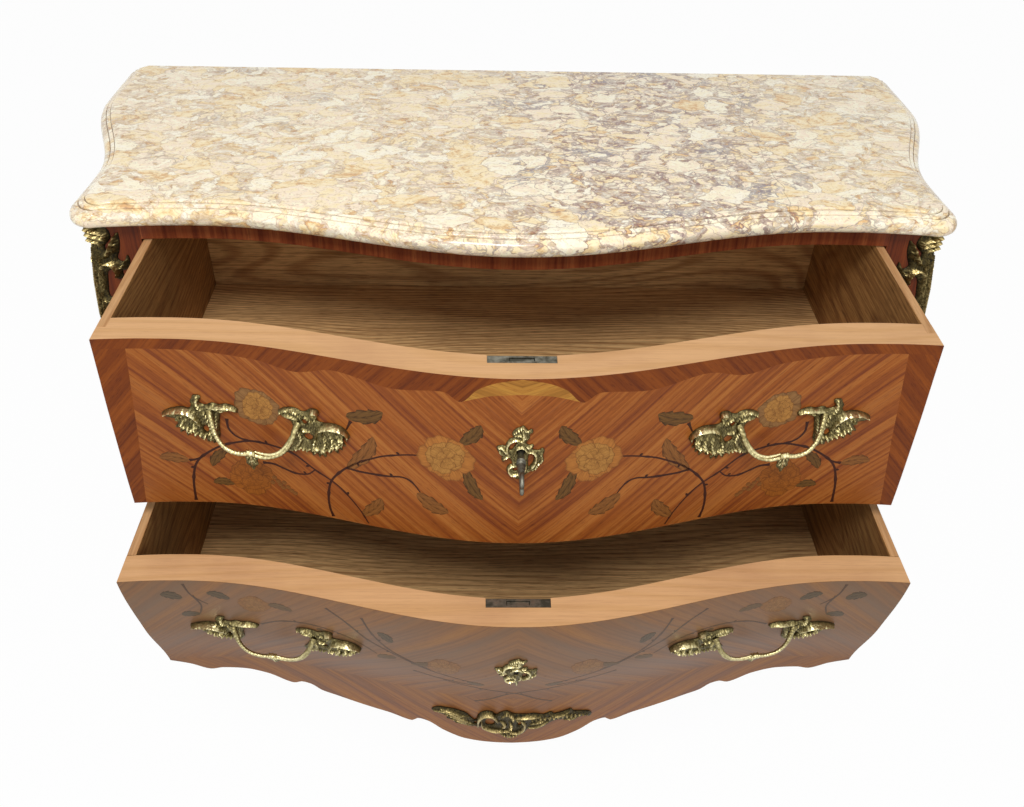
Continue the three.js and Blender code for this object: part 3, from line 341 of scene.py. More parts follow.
@dataclass(frozen=True)
class Veneer(Finish):
    """Sawn tulipwood or kingwood veneer, laid in leaves, scraped and shellac polished.

    The sawing shows fine straight stripes over broad soft bands, the scraping leaves them level, and the old
    polish gives a soft gloss that dulls along the pores.
    """

    dark: str = "#6C3216"
    middle: str = "#8E4D1C"
    light: str = "#AA6A30"
    streak: str = "#642412"
    # Colour, strength and heights of a greyish layer: dust together with a painted sheen of the polish.
    dust_and_sheen: str = "#8A6C50"
    dust_and_sheen_share: float = 0.0
    dust_and_sheen_heights: tuple = (0.24, 0.5)
    least_dust_and_sheen: float = 0.12
    stripe_mm: tuple = (4.2, 260, 7)
    band_mm: tuple = (17, 420, 7)
    pore_mm: tuple = (0.9, 13, 7)
    pore_depth: float = 0.04 * MM

    def surface(self, r: Recipe) -> Socket:
        """Puts the nodes, which read each leaf's own grain coordinates.

        Args:
            r: The recipe that takes them.

        Returns:
            The shader.
        """
        grain = r.put("Attribute", {}, "Vector", attribute_name="grain")
        lines, bands, open_grain = (r.put("Mapping", {"Vector": grain, "Scale": per_mm(*size)})
                                    for size in (self.stripe_mm, self.band_mm, self.pore_mm))
        stripe = r.put("TexNoise", {"Vector": lines, "Scale": 1.0, "Detail": 3.0})
        band = r.put("TexNoise", {"Vector": bands, "Scale": 1.0, "Detail": 2.0, "Distortion": 0.2})
        fleck = r.put("TexNoise", {"Vector": open_grain, "Scale": 1.0, "Detail": 1.0})
        level = r.put("Math", {0: stripe, 1: 0.58}, operation="MULTIPLY")
        tone = r.put("Math", {0: band, 1: 0.42, 2: level}, operation="MULTIPLY_ADD")
        base = r.put("ValToRGB", {0: tone}, stops=[(0.38, self.dark), (0.62, self.light), (0.5, self.middle)])
        thin = r.put("MapRange", {"Value": stripe, "From Min": 0.56, "From Max": 0.7, "To Max": 0.55})
        streaked = r.put("Mix", {0: thin, 6: base, 7: linear(self.streak)}, 2, data_type="RGBA")
        flecks = r.put("ValToRGB", {0: fleck}, stops=[(0.3, "#8A6650"), (0.42, "#FFFFFF")])
        pored = r.put("Mix", {0: 0.4, 6: streaked, 7: flecks}, 2, data_type="RGBA", blend_type="MULTIPLY")
        # Greyish layer that grows up the front in patches: dust, together with a painted sheen of the polish.
        place = r.put("TexCoord", {}, "Object")
        height = r.put("SeparateXYZ", {0: place}, "Z")
        low, high = self.dust_and_sheen_heights
        dust_and_sheen_rise = r.put("MapRange", {"Value": height, "From Min": low, "From Max": high,
                                     "To Min": self.dust_and_sheen_share * self.least_dust_and_sheen, "To Max": self.dust_and_sheen_share})
        patchy = r.put("MapRange", {"Value": band, "From Min": 0.2, "From Max": 0.7, "To Min": 1.15, "To Max": 0.7})
        dust_and_sheen_mask = r.put("Math", {0: dust_and_sheen_rise, 1: patchy}, operation="MULTIPLY")
        colour = r.put("Mix", {0: dust_and_sheen_mask, 6: pored, 7: linear(self.dust_and_sheen)}, 2, data_type="RGBA")
        gloss = r.put("MapRange", {"Value": band, "To Min": 0.36, "To Max": 0.5})
        normal = r.put("Bump", {"Height": fleck, "Distance": self.pore_depth})
        return r.put("BsdfPrincipled", {"Base Color": colour, "Roughness": gloss, "IOR": WOOD_IOR, "Normal": normal,
                                        "Specular IOR Level": WAXED_SPECULAR})


@dataclass(frozen=True)
class InlayWood(Finish):
    """Stained holly, box or sycamore inlay, its edges scorched in hot sand, levelled under the same polish.

    The sand leaves a brown rim that fades inwards, and fine fibres show through.
    """

    ground: str
    scorched: str
    fibre_mm: tuple = (0.9, 14, 5)
    uneven_mm: float = 7.0
    gloss: float = 0.42
    fibre_depth: float = 0.03 * MM

    def surface(self, r: Recipe) -> Socket:
        """Puts the nodes, which darken the wood where its relief mark is low.

        Args:
            r: The recipe that takes them.

        Returns:
            The shader.
        """
        grain = r.put("Attribute", {}, "Vector", attribute_name="grain")
        scorch = r.put("Attribute", {}, "Fac", attribute_name="relief")
        fine = r.put("Mapping", {"Vector": grain, "Scale": per_mm(*self.fibre_mm)})
        fibres = r.put("TexNoise", {"Vector": fine, "Scale": 1.0, "Detail": 2.0})
        cloud = r.put("TexNoise", {"Vector": grain, "Scale": 1 / (self.uneven_mm * MM), "Detail": 3.0})
        uneven = r.put("Math", {0: cloud, 1: 0.7, 2: -0.35}, operation="MULTIPLY_ADD")
        sanded = r.put("Math", {0: scorch, 1: uneven}, operation="ADD", use_clamp=True)
        tone = r.put("ValToRGB", {0: sanded}, stops=[(0.1, self.scorched), (0.8, self.ground)])
        streak = r.put("ValToRGB", {0: fibres}, stops=[(0.35, "#B5A898"), (0.6, "#FFFFFF")])
        colour = r.put("Mix", {0: 0.6, 6: tone, 7: streak}, 2, data_type="RGBA", blend_type="MULTIPLY")
        normal = r.put("Bump", {"Height": fibres, "Distance": self.fibre_depth})
        return r.put("BsdfPrincipled", {"Base Color": colour, "Roughness": self.gloss, "IOR": WOOD_IOR,
                                        "Normal": normal, "Specular IOR Level": WAXED_SPECULAR})


class Along(Enum):
    """Axis that the grain of a board runs along."""

    X = 0
    Y = 1


@dataclass(frozen=True)
class BoardWood(Finish):
    """Plain-sawn oak, planed and left bare.

    The saw cuts the year rings into long arches, the plane leaves open pores as short dark dashes, and dust
    has settled in them.
    """

    along: Along
    early: str = "#E6BA80"
    late: str = "#C29460"
    grime: str = "#6A4C30"
    ring_mm: float = 7.0
    heart: tuple = (-0.1, -0.06, 0.55)
    grime_share: float = 0.3
    boards_mm: float = 0.0
    streak_share: float = 0.6
    pore_share: float = 0.5
    bare: float = 0.68
    pore_depth: float = 0.1 * MM
    soiled_mm: float = 120.0

    def surface(self, r: Recipe) -> Socket:
        """Puts the nodes, which cut the board out of a log in the piece's own coordinates.

        Args:
            r: The recipe that takes them.

        Returns:
            The shader.
        """
        place = r.put("TexCoord", {}, "Object")
        way = self.along.value
        stretch, slow, pore, fibre = [1.0] * 3, [6.0] * 3, [1.2] * 3, [2.6] * 3
        stretch[way], slow[way], pore[way], fibre[way] = 0.05, 1.7, 22.0, 170.0
        calm = r.put("Mapping", {"Vector": place, "Scale": slow})
        bend = r.put("TexNoise", {"Vector": calm, "Scale": 1.0, "Detail": 1.0}, "Color")
        even = r.put("VectorMath", {0: bend, 1: (0.5, 0.5, 0.5)}, operation="SUBTRACT")
        warp = r.put("VectorMath", {0: even, 1: (0.16, 0.16, 0.16)}, operation="MULTIPLY")
        centred = r.put("VectorMath", {0: place, 1: self.heart}, operation="SUBTRACT")
        moved = r.put("VectorMath", {0: centred, 1: warp}, operation="ADD")
        sawn = r.put("Mapping", {"Vector": moved, "Scale": stretch})
        rings = r.put("TexWave", {"Vector": sawn, "Scale": 0.314 / (self.ring_mm * MM), "Distortion": 0.6,
                                  "Detail": 2.0, "Detail Scale": 2.0}, 1, wave_type="RINGS",
                      rings_direction="XYZ"[way])
        pores_at = r.put("Mapping", {"Vector": place, "Scale": per_mm(*pore)})
        pores = r.put("TexNoise", {"Vector": pores_at, "Scale": 1.0, "Detail": 2.0})
        fibres_at = r.put("Mapping", {"Vector": place, "Scale": per_mm(*fibre)})
        fibres = r.put("TexNoise", {"Vector": fibres_at, "Scale": 1.0, "Detail": 3.0})
        cloud = r.put("TexNoise", {"Vector": place, "Scale": 1 / (self.soiled_mm * MM), "Detail": 3.0})
        base = r.put("ValToRGB", {0: rings}, stops=[(0.45, self.early), (1.0, self.late)])
        streak = r.put("ValToRGB", {0: fibres}, stops=[(0.32, "#A48A70"), (0.6, "#FFFFFF")])
        streaked = r.put("Mix", {0: self.streak_share, 6: base, 7: streak}, 2, data_type="RGBA",
                         blend_type="MULTIPLY")
        dashes = r.put("ValToRGB", {0: pores}, stops=[(0.34, "#7A6450"), (0.48, "#FFFFFF")])
        pored = r.put("Mix", {0: self.pore_share, 6: streaked, 7: dashes}, 2, data_type="RGBA",
                      blend_type="MULTIPLY")
        dirt = r.put("MapRange", {"Value": cloud, "From Min": 0.45, "From Max": 0.75, "To Max": self.grime_share})
        colour = r.put("Mix", {0: dirt, 6: pored, 7: linear(self.grime)}, 2, data_type="RGBA")
        if self.boards_mm:
            height = r.put("SeparateXYZ", {0: place}, "Z")
            cell = r.put("Math", {0: height, 1: self.boards_mm * MM}, operation="DIVIDE")
            near = r.put("Math", {0: cell}, operation="FRACT")
            gap = r.put("Math", {0: near, 1: 0.5, 2: 0.488}, operation="COMPARE")
            joints = r.put("ValToRGB", {0: gap}, stops=[(0.0, "#1E140C"), (0.5, "#FFFFFF")])
            colour = r.put("Mix", {0: 1.0, 6: colour, 7: joints}, 2, data_type="RGBA", blend_type="MULTIPLY")
        normal = r.put("Bump", {"Height": pores, "Distance": self.pore_depth})
        return r.put("BsdfPrincipled", {"Base Color": colour, "Roughness": self.bare, "IOR": WOOD_IOR,
                                        "Normal": normal, "Specular IOR Level": 0.3})


@dataclass(frozen=True)
class Breccia(Finish):
    """Violet breccia marble, sawn, rubbed and polished.

    The quarry's bed was crushed again and again: large cream fragments lie among middling ones and these in
    small chips, each rimmed by violet-brown clay, and the rubbing leaves one even gloss over them all.
    """

    tilt: float = -0.3
    sand: str = "#A9826E"
    slate: str = "#7C8494"
    crack: str = "#7A6658"
    # Darker colour of the moulding's grooves: painted shade, together with grime.
    groove_shade_and_grime: str = "#7E6244"
    crushed_mm: tuple = (31.0, 13.0, 6.0)
    rim_mm: tuple = (1.0, 1.3, 1.9)
    least_crushed: tuple = (0.48, 0.24, 0.0)
    bend_mm: float = 42.0
    ragged_mm: float = 6.0
    clump_mm: float = 70.0
    cloud_mm: float = 11.0
    grit_mm: float = 3.0
    half_m: float = 0.59

    def surface(self, r: Recipe) -> Socket:
        """Puts the nodes, with their colours placed across the top as on the real slab.

        Args:
            r: The recipe that takes them.

        Returns:
            The shader.
        """
        place = r.put("TexCoord", {}, "Object")
        tilted = r.put("Mapping", {"Vector": place, "Rotation": (0, 0, self.tilt), "Scale": (0.8, 1.12, 1.12)})
        bend = r.put("TexNoise", {"Vector": tilted, "Scale": 1 / (self.bend_mm * MM), "Detail": 2.0}, "Color")
        ragged = r.put("TexNoise", {"Vector": tilted, "Scale": 1 / (self.ragged_mm * MM), "Detail": 2.0}, "Color")
        bent = r.put("VectorMath", {0: bend, 1: (0.045, 0.045, 0.045), 2: tilted}, operation="MULTIPLY_ADD")
        moved = r.put("VectorMath", {0: ragged, 1: (0.009, 0.009, 0.009), 2: bent}, operation="MULTIPLY_ADD")
        across = r.put("SeparateXYZ", {0: place}, "X")
        side = r.put("MapRange", {"Value": across, "From Min": -self.half_m, "From Max": self.half_m})
        dense = r.put("ValToRGB", {0: side}, stops=[(0.0, "#CCCCCC"), (1.0, "#C4C4C4"), (0.28, "#BCBCBC"),
                                                    (0.44, "#C8C8C8"), (0.57, "#FFFFFF"), (0.76, "#F6F6F6"),
                                                    (0.87, "#C4C4C4")])
        clump = r.put("TexNoise", {"Vector": tilted, "Scale": 1 / (self.clump_mm * MM), "Detail": 2.0})
        cloud = r.put("TexNoise", {"Vector": moved, "Scale": 1 / (self.cloud_mm * MM), "Detail": 4.0, "Roughness": 0.6})
        grit = r.put("TexNoise", {"Vector": moved, "Scale": 1 / (self.grit_mm * MM), "Detail": 3.0})
        crushed = r.put("Math", {0: clump, 1: dense}, operation="MULTIPLY")
        colour, rim = None, None
        for size, width, least in list(zip(self.crushed_mm, self.rim_mm, self.least_crushed))[::-1]:
            at = r.put("VectorMath", {0: moved, 1: (least, least, least)}, operation="ADD")
            own = r.put("TexVoronoi", {"Vector": at, "Scale": 1 / (size * MM)}, "Color")
            edge = r.put("TexVoronoi", {"Vector": at, "Scale": 1 / (size * MM)}, feature="DISTANCE_TO_EDGE")
            toss = r.put("SeparateXYZ", {0: own}, "X")
            shade = r.put("SeparateXYZ", {0: own}, "Y")
            clouded = r.put("Math", {0: shade, 1: 0.5, 2: cloud}, operation="MULTIPLY_ADD")
            cream = r.put("ValToRGB", {0: clouded}, stops=[(0.42, "#DCAE76"), (1.0, "#FFF6DE"), (0.52, "#F2D6A0"),
                                                           (0.64, "#FCE9BC"), (0.8, "#F9E4CA"), (0.88, "#FFF4D0")])
            line = r.put("MapRange", {"Value": edge, "From Min": 0.25 * width / size, "From Max": width / size,
                                      "To Min": 1.0, "To Max": 0.0})
            if colour is None:
                colour, rim = cream, line
                continue
            bar = r.put("Math", {0: crushed, 1: 0.5, 2: least}, operation="MULTIPLY_ADD")
            whole = r.put("Math", {0: toss, 1: bar}, operation="GREATER_THAN")
            colour = r.put("Mix", {0: whole, 6: colour, 7: cream}, 2, data_type="RGBA")
            within = r.put("MapRange", {"Value": whole, "To Min": 1.0, "To Max": 0.0})
            inner = r.put("Math", {0: rim, 1: within}, operation="MULTIPLY")
            rim = r.put("Math", {0: inner, 1: line}, operation="MAXIMUM")
        patchy = r.put("MapRange", {"Value": cloud, "From Min": 0.38, "From Max": 0.62, "To Min": 1.0, "To Max": 0.4})
        broken = r.put("Math", {0: rim, 1: patchy}, operation="MULTIPLY")
        share = r.put("Math", {0: broken, 1: dense}, operation="MULTIPLY", use_clamp=True)
        held = r.put("Math", {0: share, 1: 0.85}, operation="MULTIPLY")
        gritty = r.put("MapRange", {"Value": grit, "From Min": 0.46, "From Max": 0.34, "To Max": 0.4})
        sanded = r.put("Mix", {0: gritty, 6: colour, 7: linear(self.sand)}, 2, data_type="RGBA")
        clay = r.put("ValToRGB", {0: side}, stops=[(0.1, "#9A6C50"), (0.9, "#86665C"), (0.45, "#7E5658"),
                                                   (0.7, "#74505C")])
        veined = r.put("Mix", {0: held, 6: sanded, 7: clay}, 2, data_type="RGBA")
        slaty = r.put("MapRange", {"Value": clump, "From Min": 0.56, "From Max": 0.66, "To Max": 0.5})
        flecked = r.put("Math", {0: slaty, 1: share}, operation="MULTIPLY")
        slated = r.put("Mix", {0: flecked, 6: veined, 7: linear(self.slate)}, 2, data_type="RGBA")
        crack_x = r.put("Math", {0: clump, 1: 0.03, 2: 0.315}, operation="MULTIPLY_ADD")
        crack = r.put("Math", {0: across, 1: crack_x, 2: 0.0006}, operation="COMPARE")
        hair = r.put("Math", {0: crack, 1: 0.4}, operation="MULTIPLY")
        cracked = r.put("Mix", {0: hair, 6: slated, 7: linear(self.crack)}, 2, data_type="RGBA")
        # Darkens the points that lie in the moulding's grooves: painted shade, together with grime.
        moulded = r.put("Attribute", {}, "Fac", attribute_name="relief")
        groove_darkening = r.put("MapRange", {"Value": moulded, "From Max": 0.5, "To Min": 0.8, "To Max": 0.0})
        top = r.put("Mix", {0: groove_darkening, 6: cracked, 7: linear(self.groove_shade_and_grime)}, 2, data_type="RGBA")
        gloss = r.put("MapRange", {"Value": share, "To Min": 0.13, "To Max": 0.2})
        return r.put("BsdfPrincipled", {"Base Color": top, "Roughness": gloss, "IOR": 1.49})


@dataclass(frozen=True)
class GiltBronze(Finish):
    """Sand-cast bronze, chased and mercury gilt, handled for long.

    The punches of the chaser leave small pits, handling has rubbed the ridges bright, and brown wax has stayed
    in the hollows.
    """

    hollow: str = "#3A321C"
    body: str = "#8A7E54"
    ridge: str = "#E6DAA6"
    spot_mm: float = 5.0
    punch_mm: float = 2.6
    punch_depth: float = 0.5 * MM

    def surface(self, r: Recipe) -> Socket:
        """Puts the nodes, which read the relief mark of each point.

        Args:
            r: The recipe that takes them.

        Returns:
            The shader.
        """
        relief = r.put("Attribute", {}, "Fac", attribute_name="relief")
        place = r.put("TexCoord", {}, "Object")
        spots = r.put("TexNoise", {"Vector": place, "Scale": 1 / (self.spot_mm * MM), "Detail": 3.0})
        punches = r.put("TexVoronoi", {"Vector": place, "Scale": 1 / (self.punch_mm * MM)}, feature="SMOOTH_F1")
        pitted = r.put("Math", {0: punches, 1: -0.35, 2: relief}, operation="MULTIPLY_ADD")
        spotted = r.put("Math", {0: spots, 1: 0.4, 2: pitted}, operation="MULTIPLY_ADD")
        worn = r.put("MapRange", {"Value": spotted, "From Min": 0.1, "From Max": 1.05})
        colour = r.put("ValToRGB", {0: worn}, stops=[(0.12, self.hollow), (0.9, self.ridge), (0.48, self.body)])
        rough = r.put("MapRange", {"Value": worn, "To Min": 0.6, "To Max": 0.26})
        metal = r.put("MapRange", {"Value": worn, "From Max": 0.35, "To Min": 0.7})
        raised = r.put("Math", {0: punches, 1: -1.0, 2: 1.0}, operation="MULTIPLY_ADD")
        normal = r.put("Bump", {"Height": raised, "Distance": self.punch_depth})
        return r.put("BsdfPrincipled", {"Base Color": colour, "Metallic": metal, "Roughness": rough, "Normal": normal})


@dataclass(frozen=True)
class ForgedMetal(Finish):
    """Rolled steel or brass, filed flat and darkened by age: cloudy tarnish over fine file marks."""

    clean: str
    tarnish: str
    cloud_mm: float = 11.0
    file_mm: tuple = (9, 0.5, 0.5)
    mark_depth: float = 0.05 * MM

    def surface(self, r: Recipe) -> Socket:
        """Puts the nodes of the tarnish and the file marks.

        Args:
            r: The recipe that takes them.

        Returns:
            The shader.
        """
        place = r.put("TexCoord", {}, "Object")
        cloud = r.put("TexNoise", {"Vector": place, "Scale": 1 / (self.cloud_mm * MM), "Detail": 4.0})
        filed = r.put("Mapping", {"Vector": place, "Scale": per_mm(*self.file_mm)})
        marks = r.put("TexNoise", {"Vector": filed, "Scale": 1.0, "Detail": 1.0})
        colour = r.put("ValToRGB", {0: cloud}, stops=[(0.38, self.tarnish), (0.62, self.clean)])
        rough = r.put("MapRange", {"Value": cloud, "From Min": 0.3, "From Max": 0.7, "To Min": 0.6, "To Max": 0.33})
        normal = r.put("Bump", {"Height": marks, "Distance": self.mark_depth})
        return r.put("BsdfPrincipled", {"Base Color": colour, "Metallic": 1.0, "Roughness": rough, "Normal": normal})


def case_points(x: Array | float, y: Array | float, z: Array | float) -> Array:
    """Points of the case from grids of their coordinates, or from a number that one coordinate keeps."""
    return np.stack(np.broadcast_arrays(x, y, z), axis=-1)


@dataclass
class Block:
    """Closed bodies of one piece in the making, in the case's millimetres, with the marks of each point."""

    points: list[Array] = field(default_factory=list)
    faces: list[tuple[int, ...]] = field(default_factory=list)
    slots: list[int] = field(default_factory=list)
    grain: list[Array] = field(default_factory=list)
    relief: list[Array] = field(default_factory=list)

    def add(self, points: Array, faces: Iterable[Sequence[int]], slots: int | Sequence[int] = 0,
            grain: Array | None = None, relief: Array | None = None) -> None:
        """Adds one closed body and turns its faces outwards.

        Args:
            points: Its points.
            faces: Its faces as point numbers.
            slots: Material number of all faces, or of each.
            grain: Grain coordinates of each point, in millimetres.
            relief: Height mark of each point, from 0 to 1.
        """
        points = np.asarray(points, float).reshape(-1, 3)
        faces = [tuple(int(i) for i in face) for face in faces]
        middle = points.mean(axis=0)
        volume = 0.0
        for face in faces:
            a = points[face[0]] - middle
            for i in range(1, len(face) - 1):
                b, c = points[face[i]] - middle, points[face[i + 1]] - middle
                volume += (a[0] * (b[1] * c[2] - b[2] * c[1]) + a[1] * (b[2] * c[0] - b[0] * c[2])
                           + a[2] * (b[0] * c[1] - b[1] * c[0]))
        start = sum(len(p) for p in self.points)
        for face in faces:
            shifted = tuple(i + start for i in face)
            self.faces.append(shifted if volume > 0 else shifted[::-1])
        self.slots += [slots] * len(faces) if isinstance(slots, int) else list(slots)
        self.points.append(points)
        self.grain.append(points if grain is None else np.asarray(grain, float).reshape(-1, 3))
        self.relief.append(np.full(len(points), 0.6) if relief is None else np.asarray(relief, float).ravel())

    def slab(self, outer: Array, inner: Array, slots: int | Sequence[int] = 0,
             grain: Array | None = None, relief: Array | None = None) -> None:
        """Adds a slab between two grids of points.

        Args:
            outer: Grid of points of the outer face.
            inner: Grid of the inner face.
            slots: Material of all faces, or of the outer, inner, bottom, top, left and right ones.
            grain: Grain coordinates of the outer grid, also used behind it.
            relief: Marks of the outer grid, also used behind it.
        """
        m, n = outer.shape[:2]
        size = m * n
        slots = (slots,) * 6 if isinstance(slots, int) else slots

        def at(i: int, j: int, behind: int) -> int:
            """Number of a grid point."""
            return behind * size + i * n + j

        faces, marks = [], []
        for i in range(m - 1):
            for j in range(n - 1):
                faces.append((at(i, j, 0), at(i + 1, j, 0), at(i + 1, j + 1, 0), at(i, j + 1, 0)))
                faces.append((at(i, j + 1, 1), at(i + 1, j + 1, 1), at(i + 1, j, 1), at(i, j, 1)))
                marks += [slots[0], slots[1]]
            faces.append((at(i + 1, 0, 0), at(i, 0, 0), at(i, 0, 1), at(i + 1, 0, 1)))
            faces.append((at(i, n - 1, 0), at(i + 1, n - 1, 0), at(i + 1, n - 1, 1), at(i, n - 1, 1)))
            marks += [slots[2], slots[3]]
        for j in range(n - 1):
            faces.append((at(0, j, 0), at(0, j + 1, 0), at(0, j + 1, 1), at(0, j, 1)))
            faces.append((at(m - 1, j + 1, 0), at(m - 1, j, 0), at(m - 1, j, 1), at(m - 1, j + 1, 1)))
            marks += [slots[4], slots[5]]
        points = np.concatenate([outer.reshape(-1, 3), inner.reshape(-1, 3)])
        twice = [None if mark is None else np.concatenate([mark.reshape(size, -1)] * 2) for mark in (grain, relief)]
        self.add(points, faces, marks, *twice)

    def loft(self, rings: Sequence[Array], slots: int = 0, relief: Array | None = None,
             grain: Array | None = None) -> None:
        """Adds a body through rings of equally many points, closed by flat caps.

        Args:
            rings: The rings.
            slots: Material number.
            relief: Mark of each point.
            grain: Grain coordinates of each point.
        """
        count = len(rings[0])
        faces: list[tuple[int, ...]] = []
        for r in range(len(rings) - 1):
            for i in range(count):
                a, b = r * count + i, r * count + (i + 1) % count
                faces.append((a, b, b + count, a + count))
        last = (len(rings) - 1) * count
        faces.append(tuple(range(count))[::-1])
        faces.append(tuple(range(last, last + count)))
        self.add(np.concatenate(rings), faces, slots, grain, relief)

    def build(self, name: str, body: Body, finishes: Sequence[Material], finish_slot: str,
              replaces: Sequence[str] = (), sharp_deg: float = 38.0, mirrored: bool = False) -> None:
        """Makes the Blender piece.

        Args:
            name: Its name.
            body: Body that it rides on.
            finishes: Its materials.
            finish_slot: Not used.
            replaces: CAD nodes that it stands for.
            sharp_deg: Edges sharper than this stay crisp.
            mirrored: Whether it is the mirror image across the middle plane.
        """
        points = np.concatenate(self.points)
        faces = self.faces
        if mirrored:
            points = points * (-1, 1, 1)
            faces = [face[::-1] for face in faces]
        placed = (points + (0, body.back_y, 0)) * MM
        mesh = bpy.data.meshes.new(name)
        mesh.from_pydata(placed.tolist(), [], faces)
        for finish in finishes:
            mesh.materials.append(finish)
        mesh.polygons.foreach_set("material_index", self.slots)
        grain = mesh.attributes.new("grain", "FLOAT_VECTOR", "POINT")
        grain.data.foreach_set("vector", (np.concatenate(self.grain) * MM).astype(np.float32).ravel())
        relief = mesh.attributes.new("relief", "FLOAT", "POINT")
        relief.data.foreach_set("value", np.concatenate(self.relief).astype(np.float32))
        mesh.validate()
        mesh.shade_smooth()
        mesh.set_sharp_from_angle(angle=math.radians(sharp_deg))
        piece = bpy.data.objects.new(name, mesh)
        bpy.context.scene.collection.objects.link(piece)
        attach(piece, body.carrier)
        if replaces:
            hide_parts(*replaces)
        log.info("%s: %d points on %s", name, len(points), body.carrier)

    def build_pair(self, kind: str, finishes: Sequence[Material], finish_slot: str, replaced: str,
                   sharp_deg: float = 38.0) -> None:
        """Makes a piece of the case's right side and its mirror image on the left.

        Args:
            kind: Their name after the side.
            finishes: Their materials.
            finish_slot: Handed on to build with each piece.
            replaced: Name after the side of the CAD nodes that they stand for.
            sharp_deg: Edges sharper than this stay crisp.
        """
        for side in SIDES:
            self.build(f"{side}_{kind}", Body.CASE, finishes, finish_slot, [f"{side}_{replaced}"], sharp_deg,
                       side == "left")


def inside(polygon: Array, points: Array) -> Array:
    """Which points lie in a polygon.

    Args:
        polygon: Its corners.
        points: Points to test.

    Returns:
        True or False for each point.
    """
    result = np.zeros(len(points), bool)
    x, y = points[:, 0], points[:, 1]
    for (ax, ay), (bx, by) in zip(polygon, np.roll(polygon, -1, axis=0)):
        if ay == by:
            continue
        crosses = (ay > y) != (by > y)
        result ^= crosses & (x < (bx - ax) * (y - ay) / (by - ay) + ax)
    return result


@dataclass(frozen=True)
class Stroke:
    """A raised rib or scroll on a casting, which swells in its middle and runs out at both ends."""

    path: Points
    radius: float
    height: float
    bead_mm: float = 0.0
    bead_cut: float = 0.26
    step: float = 0.8
    widths: tuple = (0.6, 1.0, 1.05, 0.6)
    rises: tuple = (0.7, 1.0, 1.0, 0.65)

    def over(self, points: Array) -> Array:
        """Works out how high the stroke stands.

        Args:
            points: Places across and up.

        Returns:
            The height at each place.
        """
        line = smooth_path(np.asarray(self.path, float), self.step)
        gaps = np.linalg.norm(points[:, None, :] - line[None, :, :], axis=2)
        nearest = gaps.argmin(axis=1)
        gap = gaps[np.arange(len(points)), nearest]
        along = nearest / (len(line) - 1)
        shares = np.linspace(0, 1, len(self.widths))
        radius = self.radius * np.interp(along, shares, self.widths)
        round_top = np.sqrt(np.maximum(0, 1 - (gap / radius) ** 2))
        if self.bead_mm:
            beads = np.cos(2 * np.pi * nearest * self.step / self.bead_mm)
            round_top = round_top * (1 - self.bead_cut * (1 - beads))
        return self.height * np.interp(along, shares, self.rises) * round_top


